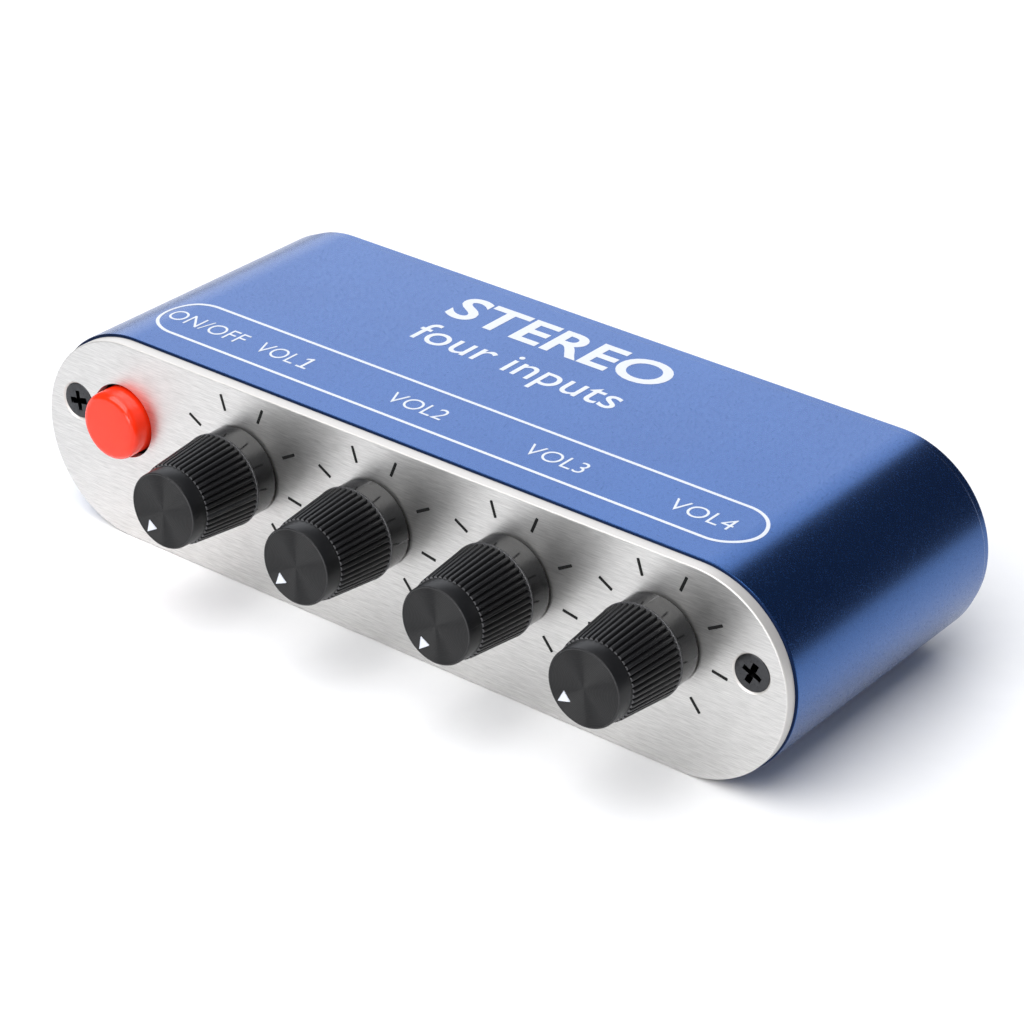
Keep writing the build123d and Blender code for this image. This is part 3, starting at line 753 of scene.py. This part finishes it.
def makeKnobFace():
    # a turned face: shallow rings from the rim to the middle, four steps to a ring
    radius = knob["face"] - knob["lip"] - knob["ease"] / 2
    top = knob["length"] - knob["ease"]
    face, state = startRing(128, knob["length"] - knob["faceThick"], radius)
    bpy.ops.mesh.edge_face_add()
    raiseRing(top, radius, state)
    for step in range(1, 4 * knob["grooves"]):
        level = top - knob["grooveDepth"] * math.sin(math.pi * step / 4) ** 2
        raiseRing(level, radius * (1 - step / (4 * knob["grooves"])), state)
    bpy.ops.mesh.edge_face_add()
    faceOut()
    smooth(face, 40)
    mapRings(face)
    return face


def mapRings(face):
    # u runs outward from the middle and v round it, for the turning marks
    layer = face.data.uv_layers.new(name="rings")
    for polygon in face.data.polygons:
        around = math.atan2(polygon.center.y, polygon.center.x)
        for loop in polygon.loop_indices:
            place = face.data.vertices[face.data.loops[loop].vertex_index].co
            turn = math.atan2(place.y, place.x)
            turn += 2 * math.pi * round((around - turn) / (2 * math.pi))
            layer.data[loop].uv = (place.xy.length, turn / (2 * math.pi))


def makePointer():
    # the printed triangle on the face, its tip outward
    bpy.ops.mesh.primitive_cylinder_add(vertices=3, radius=1.0 * mm, depth=pointer["thickness"])
    mark = bpy.context.object
    bakePlace(mark)
    startEdit(mark, "VERT")
    selectAll()
    bpy.ops.transform.resize(value=(pointer["width"], pointer["length"], 1), center_override=(0, 0, 0))
    bpy.ops.transform.translate(value=(0, pointer["out"], knob["length"]))
    bpy.ops.mesh.bevel(offset=pointer["corner"], segments=2, affect="EDGES")
    stopEdit()
    return mark


def placeOnPlate(piece, x, z, turn):
    # from the z axis to the front plate, turned clockwise as the user sees it
    upright = Matrix.Translation((x, plateLow.y, z)) @ Matrix.Rotation(math.radians(90), 4, "X")
    piece.matrix_world = upright @ Matrix.Rotation(-math.radians(turn), 4, "Z")
    bakePlace(piece)


knobBody = makeKnobBody()
paint(knobBody, "knob_abs", "knob_skirt", "knob_edge")
# the skirt takes the polished finish; thin bands at the front and rear ends of the ridges take knob_edge, a
# lighter grey that is a painted highlight where their chamfers catch light
for polygon in knobBody.data.polygons:
    fromRear = polygon.center.z - knob["gripRear"]
    fromFront = polygon.center.z - knob["gripFront"] + 1.5 * knob["ease"]
    if fromRear < knob["ease"] - knob["rimWidth"]:
        polygon.material_index = 1
    elif min(abs(fromRear), abs(fromFront)) < knob["highlightBand"]:
        polygon.material_index = 2
knobFace = makeKnobFace()
paint(knobFace, "knob_face")
knobPointer = makePointer()
paint(knobPointer, "white_ink")
for index, name in enumerate(knobNames):
    x, z = knobPlaces[index]
    for model, suffix in ((knobBody, "grip"), (knobFace, "face"), (knobPointer, "pointer")):
        piece = copyOf(model, name + "_" + suffix)
        placeOnPlate(piece, x, z, pointer["angles"][index])
        settle(piece, name + "_" + suffix, name + "_body", "knob_abs", name)
for model in (knobBody, knobFace, knobPointer):
    bpy.data.objects.remove(model)
print("knobs made")


# power button

button = {"radius": 4.95 * mm, "standOut": 3.0 * mm, "length": 6.6 * mm, "edge": 1.1 * mm, "edgeSteps": 8,
          "wall": 1.1 * mm, "crown": 0.1 * mm, "foot": 0.15 * mm}


def makeButton():
    back = button["standOut"] - button["length"]
    inner = button["radius"] - button["wall"]
    cap, state = startRing(128, button["standOut"] - button["wall"], inner)
    outline = [(back, inner), (back, button["radius"] - button["foot"]),
               (back + button["foot"], button["radius"])]
    for step in range(button["edgeSteps"] + 1):
        angle = math.radians(90) * step / button["edgeSteps"]
        outline.append((button["standOut"] - button["crown"] - button["edge"] * (1 - math.sin(angle)),
                        button["radius"] - button["edge"] * (1 - math.cos(angle))))
    # the front is a shallow dome
    flat = button["radius"] - button["edge"]
    for share in (0.85, 0.65, 0.45, 0.25, 0.1):
        outline.append((button["standOut"] - button["crown"] * share ** 2, flat * share))
    for height, radius in outline:
        raiseRing(height, radius, state)
    bpy.ops.mesh.edge_face_add()
    pick(cap, "EDGE", lambda middle, edge: edge.is_boundary)
    bpy.ops.mesh.edge_face_add()
    faceOut()
    smooth(cap, 40)
    return cap


buttonCap = makeButton()
paint(buttonCap, "button_abs")
placeOnPlate(buttonCap, buttonMiddle.x, buttonMiddle.z, 0)
settle(buttonCap, "button_cap_red", "button_body", "button_abs", "button_cap")
print("button made")


# screws

screw = {"head": 2.6 * mm, "land": 0.14 * mm, "rim": 0.24 * mm, "headHeight": 1.15 * mm,
         "shank": 1.45 * mm, "length": 9.0 * mm, "point": 0.7 * mm, "recess": 0.08 * mm,
         "neck": 0.3 * mm, "threadPitch": 0.5 * mm, "threadDepth": 0.22 * mm,
         "crossSpan": 3.1 * mm, "crossArm": 0.8 * mm, "crossDepth": 1.1 * mm, "crossTaper": 0.5,
         "crossEdge": 0.07 * mm}


def makeCross(top, bottom):
    # a cutter in the shape of a plus: a square heart with an arm drawn out of each side
    arm = screw["crossArm"] / 2
    reach = screw["crossSpan"] / 2 - arm
    cutter = block((-arm, -arm, bottom), (arm, arm, top))
    startEdit(cutter, "FACE")
    for across, along in ((1, 0), (-1, 0), (0, 1), (0, -1)):
        pick(cutter, "FACE", lambda middle, face: middle.x * across + middle.y * along > arm * 0.9
             and middle.xy.length < arm * 1.1)
        drawOut((reach * across, reach * along, 0))
    pick(cutter, "VERT", lambda middle, vert: middle.z < (top + bottom) / 2 and middle.xy.length > arm * 1.5)
    taper = screw["crossTaper"]
    bpy.ops.transform.resize(value=(taper, taper, 1), center_override=(0, 0, bottom))
    stopEdit()
    return cutter


def makeScrew():
    top = -screw["recess"]
    under = top - screw["land"] - screw["headHeight"]
    end = top - screw["length"]
    root = screw["shank"] - screw["threadDepth"]
    body, state = startRing(96, top, screw["head"] - screw["rim"])
    bpy.ops.mesh.edge_face_add()
    pick(body, "EDGE", lambda middle, edge: edge.is_boundary)
    outline = [(top - screw["land"] * 0.3, screw["head"] - screw["rim"] * 0.35),
               (top - screw["land"], screw["head"]), (under, screw["shank"] + 0.01 * mm)]
    depth = under - screw["neck"]
    while depth > end + screw["threadPitch"]:
        outline += [(depth, root), (depth - screw["threadPitch"] / 2, screw["shank"])]
        depth -= screw["threadPitch"]
    outline += [(end + 0.2 * mm, root), (end, screw["point"])]
    for height, radius in outline:
        raiseRing(height, radius, state)
    bpy.ops.mesh.edge_face_add()
    faceOut()
    cutWith(body, makeCross(0.05 * mm, top - screw["crossDepth"]))
    startEdit(body, "EDGE")
    pick(body, "EDGE", lambda middle, edge: middle.z > top - 0.01 * mm
         and middle.xy.length < screw["crossSpan"] * 0.55)
    bpy.ops.mesh.bevel(offset=screw["crossEdge"], segments=2, affect="EDGES")
    stopEdit()
    smooth(body, 30)
    return body


def mountScrews(name, outerY, turned, angles):
    model = makeScrew()
    paint(model, "black_screw", "screw_recess")
    # the walls and floor of the cross recess are painted near black: painted shade in the recess
    for polygon in model.data.polygons:
        middle = polygon.center
        sunk = -screw["crossDepth"] * 1.1 < middle.z < -screw["recess"] * 2
        inward = polygon.normal.xy.dot(middle.xy) <= 1e-7
        if sunk and inward and middle.xy.length < screw["crossSpan"] * 0.55:
            polygon.material_index = 1
    pieces = []
    for (x, z), angle in zip(screwPlaces, angles):
        piece = copyOf(model, name)
        upright = Matrix.Rotation(math.radians(turned), 4, "Z") @ Matrix.Rotation(math.radians(90), 4, "X")
        piece.matrix_world = (Matrix.Translation((x, outerY, z)) @ upright
                              @ Matrix.Rotation(math.radians(angle), 4, "Z"))
        bakePlace(piece)
        pieces.append(piece)
    bpy.data.objects.remove(model)
    group = joinAll(pieces, name)
    settle(group, name + "_pair", "root", "black_screw", name)


mountScrews("front_screws", plateLow.y, 0, (12, 68))
mountScrews("rear_screws", rearHigh.y, 180, (25, 60))
print("screws made")


# sockets and DC inlet

inlet = {"bore": 3.1 * mm, "depth": 11.0 * mm, "edge": 0.3 * mm, "mouth": 0.35 * mm, "leafWidth": 1.6 * mm,
         "leafThick": 0.2 * mm, "leafLength": 6.0 * mm, "leafInset": 0.5 * mm, "leafEdge": 0.05 * mm}


def bevelBox(low, high, width):
    piece = block(low, high)
    shapeWith(piece, "BEVEL", width=width, segments=3, limit_method="ANGLE")
    return piece


def turnRing(outline, steps=64):
    # a closed outline of (height, radius) turned round the z axis, back to where it starts
    ring, state = startRing(steps, *outline[0])
    for height, radius in outline[1:] + outline[:1]:
        raiseRing(height, radius, state)
    selectAll()
    bpy.ops.mesh.remove_doubles(threshold=1e-7)
    faceOut()
    return ring


def setRear(piece, x, y, z):
    # from the z axis to a place on the rear, z looking out of the back
    piece.matrix_world = (Matrix.Translation((x, y, z)) @ Matrix.Rotation(math.radians(180), 4, "Z")
                          @ Matrix.Rotation(math.radians(90), 4, "X"))
    bakePlace(piece)
    return piece


def makeSocket(name, place):
    low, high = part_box(name)
    x, z = place
    reach = high.y - tubeHigh.y
    nose, sleeve, bore, bevel = (socket[key] for key in ("nose", "sleeve", "bore", "round"))
    body = bevelBox(low, (high.x, tubeHigh.y, high.z), socket["edge"])
    drill(body, [place], sleeve, high.y, socket["depth"])
    ring = turnRing([(-socket["root"], sleeve), (-socket["root"], nose), (reach - bevel, nose),
                     (reach, nose - bevel), (reach, sleeve + socket["mouth"]),
                     (reach - socket["mouth"], sleeve)])
    body = joinAll([body, setRear(ring, x, tubeHigh.y, z)], name)
    smooth(body)
    finish(body, "black_resin", name + "_moulding", "root", "black_resin", name)
    front = reach - socket["liningInset"]
    rear = reach - socket["depth"] + bevel
    mouth = socket["liningMouth"]
    lining = turnRing([(rear, bore), (rear, sleeve - socket["fit"]), (front, sleeve - socket["fit"]),
                       (front, bore + mouth), (front - 1.2 * mouth, bore)])
    setRear(lining, x, tubeHigh.y, z)
    smooth(lining)
    finish(lining, "pin_plating", name + "_lining", "root", "black_resin", name)


def makeInlet():
    low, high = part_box("dc_jack")
    x, z = pinMiddle.x, pinMiddle.z
    body = bevelBox(low, high, inlet["edge"])
    drill(body, [(x, z)], inlet["bore"], high.y, inlet["depth"])
    startEdit(body, "EDGE")
    pick(body, "EDGE", lambda middle, edge: abs(middle.y - high.y) < 1e-6
         and abs(math.hypot(middle.x - x, middle.z - z) - inlet["bore"]) < 0.02 * mm)
    bpy.ops.mesh.bevel(offset=inlet["mouth"], segments=2, affect="EDGES")
    stopEdit()
    smooth(body)
    finish(body, "black_resin", "dc_jack_moulding", "root", "black_resin", "dc_jack")
    # the leaf that presses on the plug's barrel
    half = inlet["leafWidth"] / 2
    bottom = z - inlet["bore"]
    front = high.y - inlet["mouth"]
    leaf = block((x - half, front - inlet["leafLength"], bottom),
                 (x + half, front - inlet["leafInset"], bottom + inlet["leafThick"]))
    shapeWith(leaf, "BEVEL", width=inlet["leafEdge"], segments=2)
    finish(leaf, "contact_brass", "dc_jack_leaf", "root", "contact_brass", "dc_jack")


for name, place in zip(jackNames, jackPlaces):
    makeSocket(name, place)
makeInlet()
print("sockets made")


# parts on the board

can = {"places": ((-21.0, -9.0), (2.0, -9.0), (25.0, -9.0), (47.5, -9.0), (-34.0, -4.0), (-34.0, 3.0)),
       "radius": 2.5 * mm, "height": 11.0 * mm, "round": 0.1 * mm, "rim": 0.3 * mm, "core": 0.5 * mm,
       # the groove rolled in near the foot: its depth, and where it starts, bottoms out and ends
       "waist": 0.22 * mm, "groove": (0.9 * mm, 1.2 * mm, 1.5 * mm, 1.8 * mm),
       "lid": 2.05 * mm, "lidSink": 0.2 * mm, "lidThick": 0.12 * mm, "lidMiddle": 0.13 * mm,
       "vent": 0.15 * mm, "ventDepth": 0.1 * mm, "ventSpan": 0.7}
chip = {"places": (-14.0, 9.0, 32.0), "y": 1.5 * mm, "length": 9.4 * mm, "width": 6.4 * mm,
        "height": 3.4 * mm, "standOff": 0.5 * mm, "edge": 0.25 * mm, "notch": 0.9 * mm,
        "dot": 0.45 * mm, "dotX": 1.3 * mm, "markDepth": 0.3 * mm}
film = {"places": (-26.2, -3.3, 19.6, 42.5), "y": 5.3 * mm, "size": (7.2 * mm, 2.5 * mm, 6.5 * mm),
        "edge": 0.3 * mm}


def makeCans():
    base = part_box("electrolytic_capacitors")[0].z
    radius, height, bend, rim, top = (can[key] for key in ("radius", "height", "round", "rim", "lid"))
    start, deep, shallow, end = can["groove"]
    sunk = height - can["lidSink"]
    model = turnRing([(rim, radius - rim), (0.0, radius - rim), (0.0, radius - bend), (bend, radius),
                      (start, radius), (deep, radius - can["waist"]), (shallow, radius - can["waist"]),
                      (end, radius), (height - rim, radius), (height - bend, radius - bend),
                      (height, radius - rim), (height, top), (sunk, top), (sunk, can["core"]),
                      (rim, can["core"])], 48)
    smooth(model)
    bpy.ops.mesh.primitive_cylinder_add(vertices=48, radius=top - 0.01 * mm, depth=can["lidThick"],
                                        location=(0, 0, height - can["lidMiddle"]))
    lid = bpy.context.object
    bakePlace(lid)
    reach = top * can["ventSpan"]
    for turn in (0, 90):
        groove = block((-reach, -can["vent"] / 2, height - can["ventDepth"]),
                       (reach, can["vent"] / 2, height + 1 * mm))
        groove.rotation_euler.z = math.radians(turn)
        bakePlace(groove)
        cutWith(lid, groove)
    cans, lids = [], []
    for x, y in can["places"]:
        for piece, group in ((model, cans), (lid, lids)):
            twin = copyOf(piece, "electrolytic")
            twin.location = (x * mm, y * mm, base)
            bakePlace(twin)
            group.append(twin)
    for piece in (model, lid):
        bpy.data.objects.remove(piece)
    for group, name, look in ((cans, "electrolytic_sleeves", "capacitor_sleeve"),
                              (lids, "electrolytic_lids", "shaft_aluminium")):
        whole = joinAll(group, name)
        finish(whole, look, name, "root", "capacitor_sleeve", "electrolytic_capacitors")


def makeChips():
    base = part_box("circuit_board")[1].z + chip["standOff"]
    top = base + chip["height"]
    front, back = chip["y"] - chip["width"] / 2, chip["y"] + chip["width"] / 2
    pieces = []
    for x in chip["places"]:
        left = x * mm - chip["length"] / 2
        piece = bevelBox((left, front, base), (left + chip["length"], back, top), chip["edge"])
        # the notch at one end and the dot beside the first leg
        for place, radius in (((left, chip["y"], top), chip["notch"]),
                              ((left + chip["dotX"], chip["y"] - chip["width"] / 3, top), chip["dot"])):
            bpy.ops.mesh.primitive_cylinder_add(vertices=32, radius=radius, depth=2 * chip["markDepth"],
                                                location=place)
            cutWith(piece, bpy.context.object)
        pieces.append(piece)
    whole = joinAll(pieces, "op_amps")
    smooth(whole)
    finish(whole, "chip_resin", "op_amp_mouldings", "root", "chip_resin", "op_amps")


def makeFilms():
    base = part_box("circuit_board")[1].z
    length, depth, height = film["size"]
    pieces = []
    for x in film["places"]:
        pieces.append(bevelBox((x * mm - length / 2, film["y"] - depth / 2, base),
                               (x * mm + length / 2, film["y"] + depth / 2, base + height), film["edge"]))
    whole = joinAll(pieces, "film_capacitors")
    smooth(whole)
    finish(whole, "film_box", "film_capacitor_boxes", "root", "film_box", "film_capacitors")


makeCans()
makeChips()
makeFilms()
print("board parts made")


# printing

# the film of ink, and how high the capitals stand as a share of the type's size
ink = {"thickness": 0.03 * mm, "lift": 0.005 * mm, "capShare": 0.73}
# the scale round each knob: radii and width of its marks, and their angles from 12 o'clock
ticks = {"inner": 8.4 * mm, "outer": 10.8 * mm, "width": 0.43 * mm, "corner": 0.09 * mm,
         "angles": (-140, -100, -60, -20, 20, 60, 100, 140)}


def makeTicks():
    reach = (ticks["inner"] + ticks["outer"]) / 2
    marks = []
    for x, z in knobPlaces:
        for angle in ticks["angles"]:
            turn = math.radians(angle)
            bpy.ops.mesh.primitive_cube_add(size=1)
            mark = bpy.context.object
            mark.scale = (ticks["width"], ink["thickness"], ticks["outer"] - ticks["inner"])
            bakePlace(mark)
            startEdit(mark, "EDGE")
            pick(mark, "EDGE", lambda middle, edge: abs(middle.y) < 1e-9)
            bpy.ops.mesh.bevel(offset=ticks["corner"], segments=2, affect="EDGES")
            stopEdit()
            mark.rotation_euler.y = turn
            mark.location = (x + reach * math.sin(turn), plateLow.y - ink["thickness"] / 2,
                             z + reach * math.cos(turn))
            bakePlace(mark)
            marks.append(mark)
    scale = joinAll(marks, "scale_marks")
    finish(scale, "black_ink", "scale_marks", "root", "brushed_aluminium")


def layOnTube(piece):
    # flat artwork on the lid follows the tube where it starts to round over
    shapeWith(piece, "SHRINKWRAP", target=tube, wrap_method="PROJECT", use_project_z=True,
              use_negative_direction=True, use_positive_direction=True, project_limit=1 * mm)
    thicken(piece)


def thicken(piece):
    # the film of ink: the flat shape drawn up to its thickness
    startEdit(piece, "FACE")
    selectAll()
    drawOut((0, 0, ink["thickness"]))
    faceOut()
    bpy.ops.object.shade_flat()


def faceUp(piece):
    # every flat face of the edited piece looks up; leaves edit mode
    pick(piece, "FACE", lambda middle, face: face.normal.z < 0)
    bpy.ops.mesh.flip_normals()
    stopEdit()


def writeWords(words, capHeight, left, right, y, weight):
    # upright words that fill the width from left to right, flat above the lid
    bpy.ops.object.text_add(location=(0, 0, 0))
    text = bpy.context.object
    text.data.body = words
    text.data.size = capHeight / ink["capShare"] * mm
    text.data.offset = weight * mm
    text.data.resolution_u = 6
    onlyThis(text)
    bpy.ops.object.convert(target="MESH")
    text = bpy.context.object
    low = min(vertex.co.x for vertex in text.data.vertices)
    high = max(vertex.co.x for vertex in text.data.vertices)
    stretch = (right - left) * mm / (high - low)
    text.scale.x = stretch
    text.location = (left * mm - low * stretch, y * mm, tubeHigh.z + ink["lift"])
    bakePlace(text)
    startEdit(text, "FACE")
    selectAll()
    bpy.ops.mesh.remove_doubles(threshold=1e-7)
    bpy.ops.mesh.dissolve_degenerate(threshold=1e-6)
    faceUp(text)
    return text


def drawFlat(points, left, y):
    # a flat shape from its corners in millimetres
    bpy.ops.mesh.primitive_circle_add(vertices=3, radius=mm, fill_type="NOTHING")
    shape = bpy.context.object
    startEdit(shape, "VERT")
    selectAll()
    bpy.ops.mesh.merge(type="CENTER")
    last = (0, 0)
    for point in points[1:]:
        step = ((point[0] - last[0]) * mm, (point[1] - last[1]) * mm, 0)
        bpy.ops.mesh.extrude_vertices_move(TRANSFORM_OT_translate={"value": step})
        last = point
    selectAll()
    bpy.ops.mesh.edge_face_add()
    faceUp(shape)
    shape.location = (left * mm, y * mm, tubeHigh.z + ink["lift"])
    bakePlace(shape)
    return shape


def makeBand():
    # one line with round ends that runs round all the legends
    radius = (band["back"] - band["front"]) / 2
    outer = radius + band["stroke"] / 2
    straight = (band["right"] - band["left"]) / 2 - radius
    bpy.ops.mesh.primitive_circle_add(vertices=128, radius=outer * mm)
    line = bpy.context.object
    startEdit(line, "VERT")
    selectAll()
    bpy.ops.mesh.bisect(plane_co=(0, 0, 0), plane_no=(1, 0, 0), clear_inner=True)
    selectAll()
    bpy.ops.transform.translate(value=(straight * mm, 0, 0))
    pick(line, "VERT", lambda middle, vert: len(vert.link_edges) == 1)
    bpy.ops.mesh.extrude_vertices_move(TRANSFORM_OT_translate={"value": (-straight * mm, 0, 0)})
    stopEdit()
    shapeWith(line, "MIRROR", use_clip=True, merge_threshold=1e-6)
    startEdit(line, "VERT")
    selectAll()
    bpy.ops.mesh.edge_face_add()
    pick(line, "FACE", lambda middle, face: True)
    bpy.ops.mesh.inset(thickness=band["stroke"] * mm)
    bpy.ops.mesh.delete(type="FACE")
    faceUp(line)
    line.location = ((band["left"] + band["right"]) / 2 * mm, (band["front"] + band["back"]) / 2 * mm,
                     tubeHigh.z + ink["lift"])
    bakePlace(line)
    layOnTube(line)
    finish(line, "white_ink", "legend_outline", "root", "blue_anodised")


# the words are plain ones: what each control does, and what the box is
legends = {
    # name: (words, cap height, left, right, y of the baseline, weight)
    "legend_power": ("ON/OFF", 3.2, -49.0, -35.5, -14.6, -0.03),
    "legend_input_1": ("VOL", 3.2, -32.9, -26.1, -14.6, -0.03),
    "legend_input_2": ("VOL2", 3.2, -9.8, -0.4, -14.6, -0.03),
    "legend_input_3": ("VOL3", 3.2, 13.1, 22.5, -14.6, -0.03),
    "legend_input_4": ("VOL4", 3.2, 35.9, 45.5, -14.6, -0.03),
    "title_upper": ("STEREO", 7.3, -20.6, 15.8, 11.9, 0.2),
    "title_lower": ("four inputs", 6.0, -19.8, 14.8, 2.8, 0.0),
}
# the first input's figure one, with a flag and a foot
figureOne = {"left": -25.3, "y": -14.6, "corners": (
    (0, 0), (1.7, 0), (1.7, 0.34), (1.05, 0.34), (1.05, 3.2), (0.72, 3.2),
    (0, 2.78), (0, 2.4), (0.65, 2.74), (0.65, 0.34), (0, 0.34))}
rearLegends = {
    # name: (words, cap height, left, right, height of the baseline); seen from the back
    "rear_legend_1": ("IN 1", 2.2, -29.0, -23.5, 22.6),
    "rear_legend_2": ("IN 2", 2.2, -6.1, -0.5, 22.6),
    "rear_legend_3": ("IN 3", 2.2, 16.8, 22.4, 22.6),
    "rear_legend_4": ("IN 4", 2.2, 39.7, 45.3, 22.6),
    "rear_legend_out": ("OUT", 2.2, -39.9, -34.5, 22.6),
    "rear_legend_dc": ("DC", 2.2, -49.4, -45.8, 23.2),
}
band = {"left": -50.2, "right": 49.3, "front": -17.95, "back": -7.6, "stroke": 0.5}

makeTicks()
makeBand()
for name, (words, capHeight, left, right, y, weight) in legends.items():
    piece = writeWords(words, capHeight, left, right, y, weight)
    layOnTube(piece)
    finish(piece, "white_ink", name, "root", "blue_anodised")
one = drawFlat(figureOne["corners"], figureOne["left"], figureOne["y"])
layOnTube(one)
finish(one, "white_ink", "legend_input_1_figure", "root", "blue_anodised")
for name, (words, capHeight, left, right, height) in rearLegends.items():
    piece = writeWords(words, capHeight, -right, -left, 0, 0)
    thicken(piece)
    piece.location.z = -tubeHigh.z - ink["lift"]
    bakePlace(piece)
    setRear(piece, 0, rearHigh.y, height * mm)
    finish(piece, "white_ink", name, "root", "blue_anodised")
print("printing made")


# floor, light and camera

studio = {
    "floorColour": "#f2f2f3",
    "worldColour": "#dce6ff",
    "worldStrength": 0.11,
    # name: (place, size, power, colour); each looks at the mixer
    "lamps": {
        "topSoftbox": ((-0.1, -0.6, 1.12), (1.5, 1.5), 28, "#ffffff"),
        "rearSoftbox": ((-0.85, 0.98, 0.7), (1.3, 1.3), 9.2, "#f6f9ff"),
        "frontSoftbox": ((0.22, -1.27, 0.18), (0.5, 0.3), 3.2, "#ffffff"),
        "rightSoftbox": ((1.2, -1.0, 0.9), (0.7, 0.9), 2, "#ffffff"),
    },
}

bpy.ops.mesh.primitive_plane_add(size=6)
floor = bpy.context.object
floor.name = "floor"
floorMaterial, tree, shader, place = newMaterial("matteTable", {"Roughness": 0.7})
grain = addNode(tree, "ShaderNodeTexNoise", {"Scale": perMetre(4), "Detail": 3.0}, {"Vector": place})
tone = addNode(tree, "ShaderNodeMix",
               {"data_type": "RGBA", 6: fromHex(studio["floorColour"]), 7: fromHex("#f6f6f6")},
               {0: grain.outputs["Fac"]})
tree.links.new(tone.outputs[2], shader.inputs["Base Color"])
floor.data.materials.append(floorMaterial)

world = bpy.data.worlds.new("studioAir")
world.use_nodes = True
world.node_tree.nodes["Background"].inputs["Color"].default_value = fromHex(studio["worldColour"])
world.node_tree.nodes["Background"].inputs["Strength"].default_value = studio["worldStrength"]
bpy.context.scene.world = world

for name, (spot, size, power, colour) in studio["lamps"].items():
    lamp = bpy.data.lights.new(name, "AREA")
    lamp.shape = "RECTANGLE"
    lamp.size, lamp.size_y = size
    lamp.energy = power
    lamp.color = fromHex(colour)[:3]
    holder = bpy.data.objects.new(name, lamp)
    holder.location = spot
    holder.rotation_euler = (Vector((0, 0, 0.015)) - Vector(spot)).to_track_quat("-Z", "Y").to_euler()
    bpy.context.scene.collection.objects.link(holder)

# azimuth is round from the front towards the right; the slides move the view without turning it
view = {"azimuth": 36.061, "elevation": 28.611, "roll": 2.244, "distance": 455.8,
        "slideRight": 1.039, "slideUp": -3.860, "lens": 116.95}


def aimCamera():
    azimuth, elevation, roll = (math.radians(view[key]) for key in ("azimuth", "elevation", "roll"))
    back = Vector((math.sin(azimuth) * math.cos(elevation), -math.cos(azimuth) * math.cos(elevation),
                   math.sin(elevation)))
    right = Vector((math.cos(azimuth), math.sin(azimuth), 0))
    up = back.cross(right)
    across = right * math.cos(roll) + up * math.sin(roll)
    upward = up * math.cos(roll) - right * math.sin(roll)
    camera = bpy.data.cameras.new("camera")
    camera.lens = view["lens"]
    camera.sensor_width = 36
    camera.clip_start = 0.01
    holder = bpy.data.objects.new("camera", camera)
    bpy.context.scene.collection.objects.link(holder)
    turn = Matrix((across, upward, back)).transposed().to_4x4()
    aim = Vector((0, 0, (plateLow.z + plateHigh.z) / 2))
    spot = aim + (across * view["slideRight"] + upward * view["slideUp"] + back * view["distance"]) * mm
    holder.matrix_world = Matrix.Translation(spot) @ turn
    bpy.context.scene.camera = holder


aimCamera()
bpy.context.scene.view_settings.view_transform = "Standard"
bpy.context.scene.view_settings.look = "None"
print("studio made")
